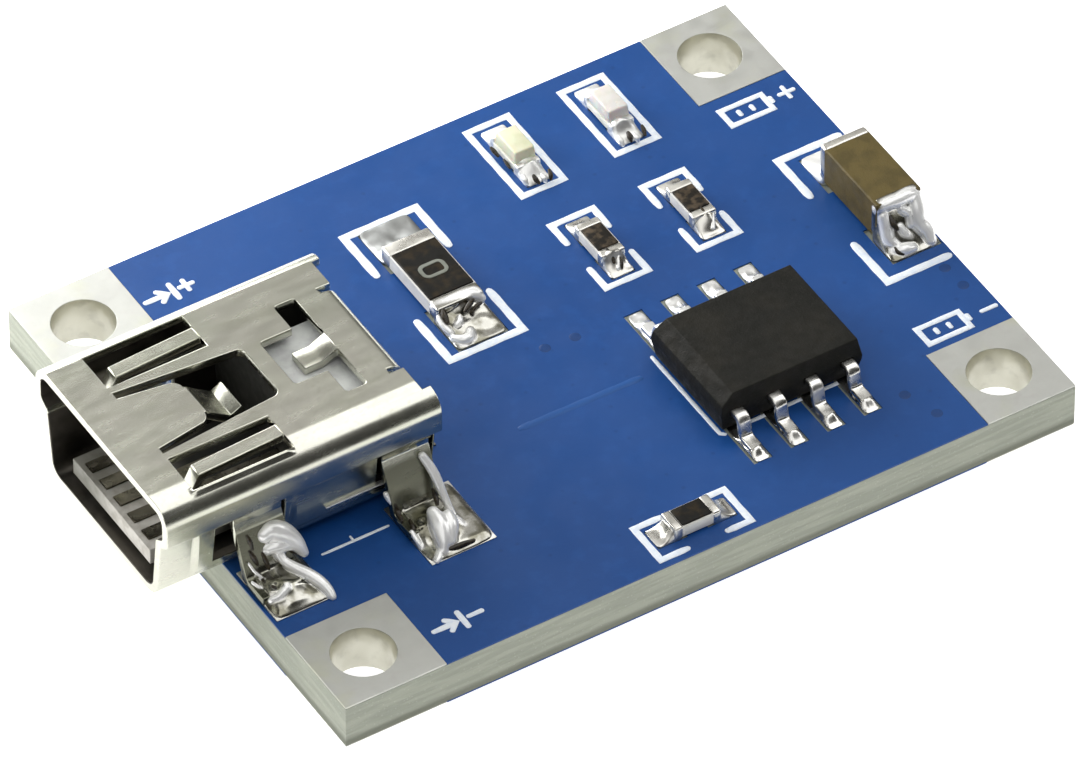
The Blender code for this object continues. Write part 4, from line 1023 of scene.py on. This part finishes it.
# Frozen runs on the legs of the side at negative Y, painted matt white, some set where bright spots fall as
# painted highlights: x, y, height above the deck, radius.
leg_beads = {"front": [
    [(-11.55, -3.5, 1.35, 0.26), (-11.3, -3.46, 1.42, 0.34), (-10.95, -3.58, 1.15, 0.36),
     (-10.66, -3.8, 0.8, 0.28), (-10.52, -4.02, 0.5, 0.15)],
    [(-11.55, -3.75, 0.95, 0.16), (-11.2, -3.78, 0.95, 0.22), (-10.9, -3.8, 0.85, 0.2)],
    [(-11.28, -3.9, 0.75, 0.15), (-11.25, -4.08, 0.6, 0.14), (-11.08, -4.36, 0.5, 0.16),
     (-10.8, -4.76, 0.4, 0.19), (-10.6, -5.15, 0.28, 0.18), (-10.52, -5.45, 0.14, 0.15),
     (-10.52, -5.62, 0.05, 0.12)],
    [(-12.28, -3.85, 0.85, 0.05), (-12.2, -4.05, 0.6, 0.06), (-12.05, -4.2, 0.45, 0.05)],
    [(-12.38, -4.2, 0.42, 0.06), (-12.28, -4.45, 0.36, 0.06)],
    [(-12.2, -4.95, 0.25, 0.07), (-11.95, -5.02, 0.32, 0.1), (-11.6, -4.9, 0.4, 0.1)],
], "rear": [
    [(-6.6, -4.75, 0.68, 0.2), (-6.58, -5.1, 0.52, 0.32), (-6.7, -5.5, 0.3, 0.26),
     (-6.85, -5.75, 0.12, 0.14)],
    [(-6.24, -5.0, 0.6, 0.18), (-6.3, -5.25, 0.46, 0.28), (-6.55, -5.6, 0.22, 0.2)],
    [(-6.8, -5.6, 0.14, 0.12), (-7.05, -5.84, 0.1, 0.08), (-7.22, -5.98, 0.05, 0.09)],
    [(-6.2, -3.5, 1.75, 0.13), (-6.02, -3.85, 1.3, 0.16), (-5.98, -4.3, 0.75, 0.13), (-5.95, -4.75, 0.3, 0.1),
     (-5.8, -5.2, 0.08, 0.07)],
    [(-7.5, -3.62, 0.95, 0.1), (-7.46, -3.72, 0.75, 0.09), (-7.36, -3.85, 0.55, 0.04)],
    [(-7.36, -4.8, 0.32, 0.09), (-7.34, -5.1, 0.18, 0.08), (-7.3, -5.3, 0.08, 0.05)],
]}

for end_name in legs:
    for leg_side in (-1, 1):
        leg_pool(end_name, leg_side)


# ---- chip

dressed("chip_body", 0.035, moulding, segments=3)

chip_x, chip_y = 4.97, -4.0
lead_pitch = 1.27
lead_corners = [(1.66, 2.395), (2.27, 2.395), (2.42, 1.76), (3.0, 1.75)]


def chip_lead(number):
    """Gull-wing lead with rounded edges, its solder toe and its land."""
    side = -1 if number <= 4 else 1
    index = (number - 1) if side < 0 else (8 - number)
    x = chip_x + lead_pitch * (index - 1.5)
    path = bent([(chip_y + side * out, up) for out, up in lead_corners], 0.16)
    lead = swept(path, rounded_rectangle(0.42, 0.19, 0.05), x)
    outer = 3.4 if side < 0 else 3.72
    land_length, half = 1.75, 0.25
    ys = sorted((chip_y + side * (outer - land_length), chip_y + side * outer))

    def height(px, py, u, v):
        out = np.abs(py - chip_y)
        heel = np.exp(-((out - 2.52) / 0.2) ** 2)
        toe = np.exp(-((out - 3.02) / 0.18) ** 2)
        fill = 0.16 * heel + 0.2 * toe + 0.02
        edge = np.maximum(0.0, 1 - np.abs(u) ** 3) * np.maximum(0.0, 1 - np.abs(v) ** 6)
        return land_top + (fill + 0.02 * ripple(px, py, number, 0.25)) * edge ** 0.7 + 0.006

    shape = pool((x - half, ys[0]), (x + half, ys[1]), height, rings=14, spokes=56, power=7.0)
    node = "chip_lead_%d" % number
    # Far-side leads take the whiter, lit copy of the tin: painted light.
    piece(node + "_formed", put_together([lead, shape]), lead_tin if side < 0 else far_lead_lit_tin,
          [node], sharp=60.0)


for lead_number in range(1, 9):
    chip_lead(lead_number)


# ---- chip parts

def laid(shape, centre, along_y=True):
    """Turn a shape made along X at the origin so that it lies along Y where needed, and place it."""
    points, faces = shape
    points = points.copy()
    if along_y:
        points[:, 0], points[:, 1] = -points[:, 1], points[:, 0].copy()
    points[:, :2] += centre
    return points, faces


def fillet(side, length, reach, half, rise, seed, fall=2.0, lumps=0.0):
    """Solder fillet at a part's end: hollow curve from the end face down to the land's far edge."""
    tuck = 0.3
    xs = sorted((side * (length / 2 - tuck), side * (length / 2 + reach)))

    def height(x, y, u, v):
        away = np.clip((np.abs(x) - length / 2) / reach, 0, 1)
        across = np.clip(np.abs(y) / half, 0, 1)
        body = rise * (1 - away) ** fall * (1 - 0.75 * across ** 4)
        swell = lumps * ripple(x, y, seed, 0.45) * (1 - away) * (1 - across ** 2)
        rim = np.clip((1 - np.maximum(np.abs(u), np.abs(v))) * 9, 0, 1)
        return land_top + 0.008 + (body + swell + 0.02) * rim ** 0.6

    return pool((xs[0], -half), (xs[1], half), height, rings=18, spokes=72, power=8.0)


# Frozen runs, as for the legs.
resistor_beads = [
    [(-2.0, 2.72, 0.42, 0.13), (-1.6, 2.66, 0.46, 0.13), (-1.15, 2.64, 0.47, 0.15), (-0.72, 2.56, 0.46, 0.19),
     (-0.56, 2.4, 0.34, 0.14)],
    [(-2.06, 2.35, 0.3, 0.09), (-2.08, 2.05, 0.22, 0.1), (-2.0, 1.8, 0.16, 0.1)],
    [(-2.0, 1.6, 0.1, 0.1), (-1.82, 1.35, 0.1, 0.17), (-1.55, 1.38, 0.1, 0.15), (-1.42, 1.6, 0.1, 0.1)],
    [(-1.72, 1.9, 0.24, 0.07), (-1.55, 1.95, 0.26, 0.1), (-1.48, 2.1, 0.3, 0.07)],
]


def resistor(number, centre, along_y, size, reach, land_reach, shares, lumps, tint=None):
    """Chip resistor: ceramic block, glazed element, two rounded terminals and their solder."""
    prefix = "resistor_%d" % number
    length, width, height = size
    low, top = seat, seat + height
    body = rounded_block((-length / 2 + 0.04, -width / 2, low + 0.03),
                         (length / 2 - 0.04, width / 2, top - 0.03), 0.02)
    piece(prefix + "_body", laid(body, centre, along_y), ceramic, [prefix + "_ceramic"])
    glaze = rounded_block((-length / 2 + reach, -width / 2 + 0.05, top - 0.07),
                          (length / 2 - reach, width / 2 - 0.05, top + 0.03), 0.03)
    piece(prefix + "_glaze", laid(glaze, centre, along_y), tint or element,
          [prefix + "_element"])
    for letter, side in (("a", -1), ("b", 1)):
        share = shares[0] if side < 0 else shares[1]
        ends = sorted((side * (length / 2 - reach), side * length / 2))
        cap = rounded_block((ends[0], -width / 2 - 0.01, low), (ends[1], width / 2 + 0.01, top), 0.06)
        ramp = fillet(side, length, land_reach, width / 2 + (0.06 if number == 1 else 0.0), height * share,
                      number + side, lumps=lumps if side < 0 else lumps * 0.3)
        joined = [laid(cap, centre, along_y), laid(ramp, centre, along_y)]
        nodes = [prefix + "_terminal_" + letter]
        if number > 1:
            piece(prefix + "_cap_" + letter, put_together(joined), terminal_tin, nodes,
                  sharp=60.0)
        elif side < 0:
            solder_mass(prefix + "_mass_a", joined, resistor_beads, nodes + [prefix + "_solder_a"], 4)
        else:
            piece(prefix + "_cap_" + letter, joined[0], terminal_tin, nodes)
            piece(prefix + "_fillet_" + letter, joined[1], solder_dull,
                  [prefix + "_solder_" + letter], sharp=70.0)


small = (1.6, 0.8, 0.45)
resistor(1, (-1.27, 4.0), True, (3.2, 1.6, 0.55), 0.5, 1.3, (0.6, 0.25), 0.1)
resistor(2, (3.7, 2.65), True, small, 0.3, 0.55, (0.9, 0.5), 0.16, small_glaze)
resistor(3, (6.87, 2.62), True, small, 0.3, 0.55, (0.9, 0.5), 0.16, small_glaze)
resistor(4, (-0.12, -8.48), False, small, 0.3, 0.55, (0.8, 0.8), 0.04)

zero = rounded_rectangle(0.76, 0.5, 0.17, 4) + np.array([-1.27, 3.95])
piece("digit_zero", offset_ribbon(zero, 0.13, seat + 0.57, seat + 0.6, closed=True), digit_print,
      sharp=40.0)


def lamp(number, centre, lens_colour, lens_second):
    """Indicator lamp: white base, drafted lens, and two terminals with their solder."""
    prefix = "lamp_%d" % number
    base = rounded_block((-0.76, -0.4, seat + 0.03), (0.76, 0.4, seat + 0.26), 0.02)
    piece(prefix + "_board", laid(base, centre), lamp_white, [prefix + "_base"])
    lens = rounded_block((-0.59, -0.37, seat + 0.26), (0.59, 0.37, land_top + 0.7), 0.06, taper=0.03)
    finish = plain_finish(prefix + "_resin", lens_colour, lens_second, 0.16, 0.0, 2.2, 0.004,
                          Subsurface_Weight=0.4, Subsurface_Scale=0.0004)
    piece(prefix + "_dome", laid(lens, centre), finish, [prefix + "_lens"])
    for letter, side, cap_height, rise in (("a", -1, 0.31, 0.34), ("b", 1, 0.4, 0.26)):
        ends = sorted((side * 0.58, side * 0.8))
        cap = rounded_block((ends[0], -0.405, seat), (ends[1], 0.405, seat + cap_height), 0.04)
        ramp = fillet(side, 1.6, 0.55, 0.42, rise, number * 3 + side, lumps=0.12)
        piece(prefix + "_end_" + letter, put_together([laid(cap, centre), laid(ramp, centre)]),
              solder_white, [prefix + "_terminal_" + letter], sharp=60.0)


lamp(1, (3.64, 7.31), (0.8, 0.8, 0.6), (0.68, 0.7, 0.46))
lamp(2, (6.95, 7.35), (0.76, 0.74, 0.7), (0.66, 0.66, 0.6))

# Frozen runs, as for the legs.
capacitor_beads = [
    [(10.9, -1.3, 1.22, 0.15), (11.15, -1.4, 1.34, 0.16), (11.5, -1.43, 1.32, 0.19),
     (11.95, -1.4, 1.34, 0.2), (12.2, -1.38, 1.22, 0.18)],
    [(12.12, -1.45, 1.15, 0.22), (12.08, -1.66, 0.85, 0.27), (12.0, -1.85, 0.55, 0.25),
     (12.18, -2.1, 0.3, 0.24), (12.15, -2.32, 0.12, 0.16)],
    [(11.6, -1.55, 1.05, 0.12), (11.82, -1.66, 0.85, 0.13), (11.75, -1.84, 0.6, 0.11)],
    [(10.98, -1.5, 1.02, 0.15), (11.02, -1.62, 0.7, 0.19), (10.95, -1.86, 0.36, 0.17),
     (11.1, -2.05, 0.2, 0.14)],
    [(11.0, -2.12, 0.12, 0.14), (11.25, -2.28, 0.14, 0.18), (11.52, -2.3, 0.1, 0.14)],
    [(11.6, -2.0, 0.25, 0.1), (11.45, -1.9, 0.42, 0.13), (11.4, -1.78, 0.6, 0.1)],
]


def capacitor(centre):
    """Ceramic capacitor: rounded brown block, rounded terminals, solder run up the near end."""
    body = rounded_block((-1.55, -0.785, seat + 0.06), (1.55, 0.785, seat + 1.42), 0.07, 4)
    piece("capacitor_block", laid(body, centre), brown, ["capacitor_ceramic"])
    far_cap = rounded_block((1.24, -0.79, seat), (1.6, 0.79, seat + 1.44), 0.1, 4)
    piece("capacitor_cap_b", laid(far_cap, centre), terminal_tin, ["capacitor_terminal_b"])
    far_ramp = fillet(1, 3.2, 1.0, 0.86, 0.43, 6.0, lumps=0.03)
    piece("capacitor_fillet_b", laid(far_ramp, centre), solder_white, ["capacitor_solder_b"],
          sharp=70.0)
    near_cap = rounded_block((-1.62, -0.8, seat), (-1.14, 0.8, seat + 1.44), 0.2, 4)
    near_ramp = fillet(-1, 3.2, 1.0, 0.86, 1.1, 4.0, fall=1.7, lumps=0.12)
    solder_mass("capacitor_mass_a", [laid(near_cap, centre), laid(near_ramp, centre)], capacitor_beads,
                ["capacitor_terminal_a", "capacitor_solder_a"], 4)


capacitor((11.58, 0.1))


# ---- flux and small drops of solder

# Short dark streaks on the solder, partly flux and partly painted shade in the gaps beside the legs,
# and bright drops beside them: each is one bead, with control points x, y, height above the deck, radius.
flux_and_shade_places = [
    [(-1.86, 2.55, 0.5, 0.06), (-1.93, 2.27, 0.44, 0.12), (-1.96, 2.06, 0.34, 0.08)],
    [(-1.34, 2.05, 0.48, 0.05), (-1.12, 2.19, 0.5, 0.1), (-0.9, 2.32, 0.48, 0.06)],
    [(-1.09, 2.07, 0.3, 0.05), (-0.89, 2.17, 0.36, 0.07), (-0.7, 2.2, 0.36, 0.05)],
    [(3.59, 2.11, 0.46, 0.05), (3.61, 1.87, 0.4, 0.09), (3.6, 1.69, 0.26, 0.06)],
    [(3.82, 1.71, 0.3, 0.04), (3.8, 1.57, 0.22, 0.06), (3.75, 1.48, 0.12, 0.04)],
    [(6.9, 2.16, 0.46, 0.05), (6.9, 1.89, 0.4, 0.09), (6.89, 1.69, 0.24, 0.06)],
    [(3.52, 6.06, 0.26, 0.06), (3.53, 5.95, 0.18, 0.09), (3.58, 5.87, 0.1, 0.05)],
    [(4.04, 6.04, 0.26, 0.05), (4.02, 5.9, 0.18, 0.08), (3.97, 5.83, 0.1, 0.05)],
    [(3.05, 7.72, 0.3, 0.05), (3.08, 7.61, 0.25, 0.08), (3.1, 7.41, 0.2, 0.05)],
    [(3.15, 7.15, 0.22, 0.04), (3.16, 6.99, 0.18, 0.06), (3.16, 6.83, 0.14, 0.04)],
    [(6.9, 6.18, 0.24, 0.06), (6.89, 6.05, 0.18, 0.1), (6.87, 5.96, 0.1, 0.05)],
    [(7.4, 6.2, 0.26, 0.05), (7.4, 6.09, 0.18, 0.08), (7.36, 5.96, 0.1, 0.05)],
    [(11.17, -1.49, 1.0, 0.06), (11.17, -1.71, 0.85, 0.11), (11.22, -1.9, 0.7, 0.07)],
    [(11.01, -2.08, 0.25, 0.05), (11.03, -2.27, 0.15, 0.09), (11.14, -2.38, 0.1, 0.05)],
    [(-12.1, -3.48, 1.55, 0.05), (-12.05, -3.56, 1.35, 0.09), (-12.04, -3.66, 1.14, 0.05)],
    [(-12.15, -3.66, 1.12, 0.05), (-12.07, -3.75, 0.91, 0.1), (-12.0, -3.86, 0.68, 0.06)],
    [(-11.77, -3.75, 0.91, 0.05), (-11.71, -3.87, 0.65, 0.09), (-11.68, -3.98, 0.4, 0.05)],
    [(-12.08, -3.93, 0.5, 0.05), (-12.05, -4.1, 0.38, 0.08), (-12.06, -4.39, 0.38, 0.05)],
    [(-10.96, -3.8, 0.81, 0.05), (-10.86, -3.87, 0.65, 0.09), (-10.73, -3.93, 0.51, 0.05)],
    [(-11.97, -4.58, 0.38, 0.05), (-11.94, -4.69, 0.38, 0.08), (-11.91, -4.81, 0.38, 0.05)],
    [(-7.35, -3.87, 0.64, 0.05), (-7.32, -3.98, 0.39, 0.1), (-7.39, -4.31, 0.38, 0.06)],
    [(-6.07, -3.88, 0.62, 0.05), (-6.04, -4.0, 0.38, 0.09), (-6.18, -4.29, 0.38, 0.06)],
    [(-7.17, -4.4, 0.38, 0.04), (-7.26, -4.73, 0.38, 0.08), (-7.29, -4.87, 0.24, 0.05)],
    [(-6.68, -5.82, 0.15, 0.05), (-6.33, -5.85, 0.15, 0.1), (-5.9, -5.88, 0.15, 0.05)],
]
drop_places = [
    [(3.76, 5.99, 0.24, 0.06), (3.77, 5.88, 0.2, 0.1), (3.77, 5.83, 0.12, 0.07)],
    [(3.25, 6.23, 0.26, 0.06), (3.24, 6.11, 0.2, 0.09), (3.25, 6.02, 0.1, 0.06)],
    [(7.02, 6.05, 0.24, 0.06), (7.04, 5.91, 0.18, 0.1), (7.04, 5.85, 0.1, 0.06)],
    [(6.56, 6.15, 0.26, 0.06), (6.57, 6.05, 0.18, 0.09), (6.57, 5.94, 0.1, 0.06)],
    [(3.9, 1.99, 0.4, 0.05), (3.8, 1.78, 0.3, 0.07), (3.64, 1.52, 0.14, 0.07)],
    [(7.19, 2.01, 0.4, 0.05), (7.09, 1.74, 0.3, 0.07), (6.93, 1.48, 0.14, 0.07)],
]
for name, places, finish, slot in (("flux_and_shade_spots", flux_and_shade_places, flux_and_painted_shade, None),
                                   ("solder_drops", drop_places, solder_white, "solder")):
    piece(name, put_together([bead(controls) for controls in places]), finish, sharp=180.0)
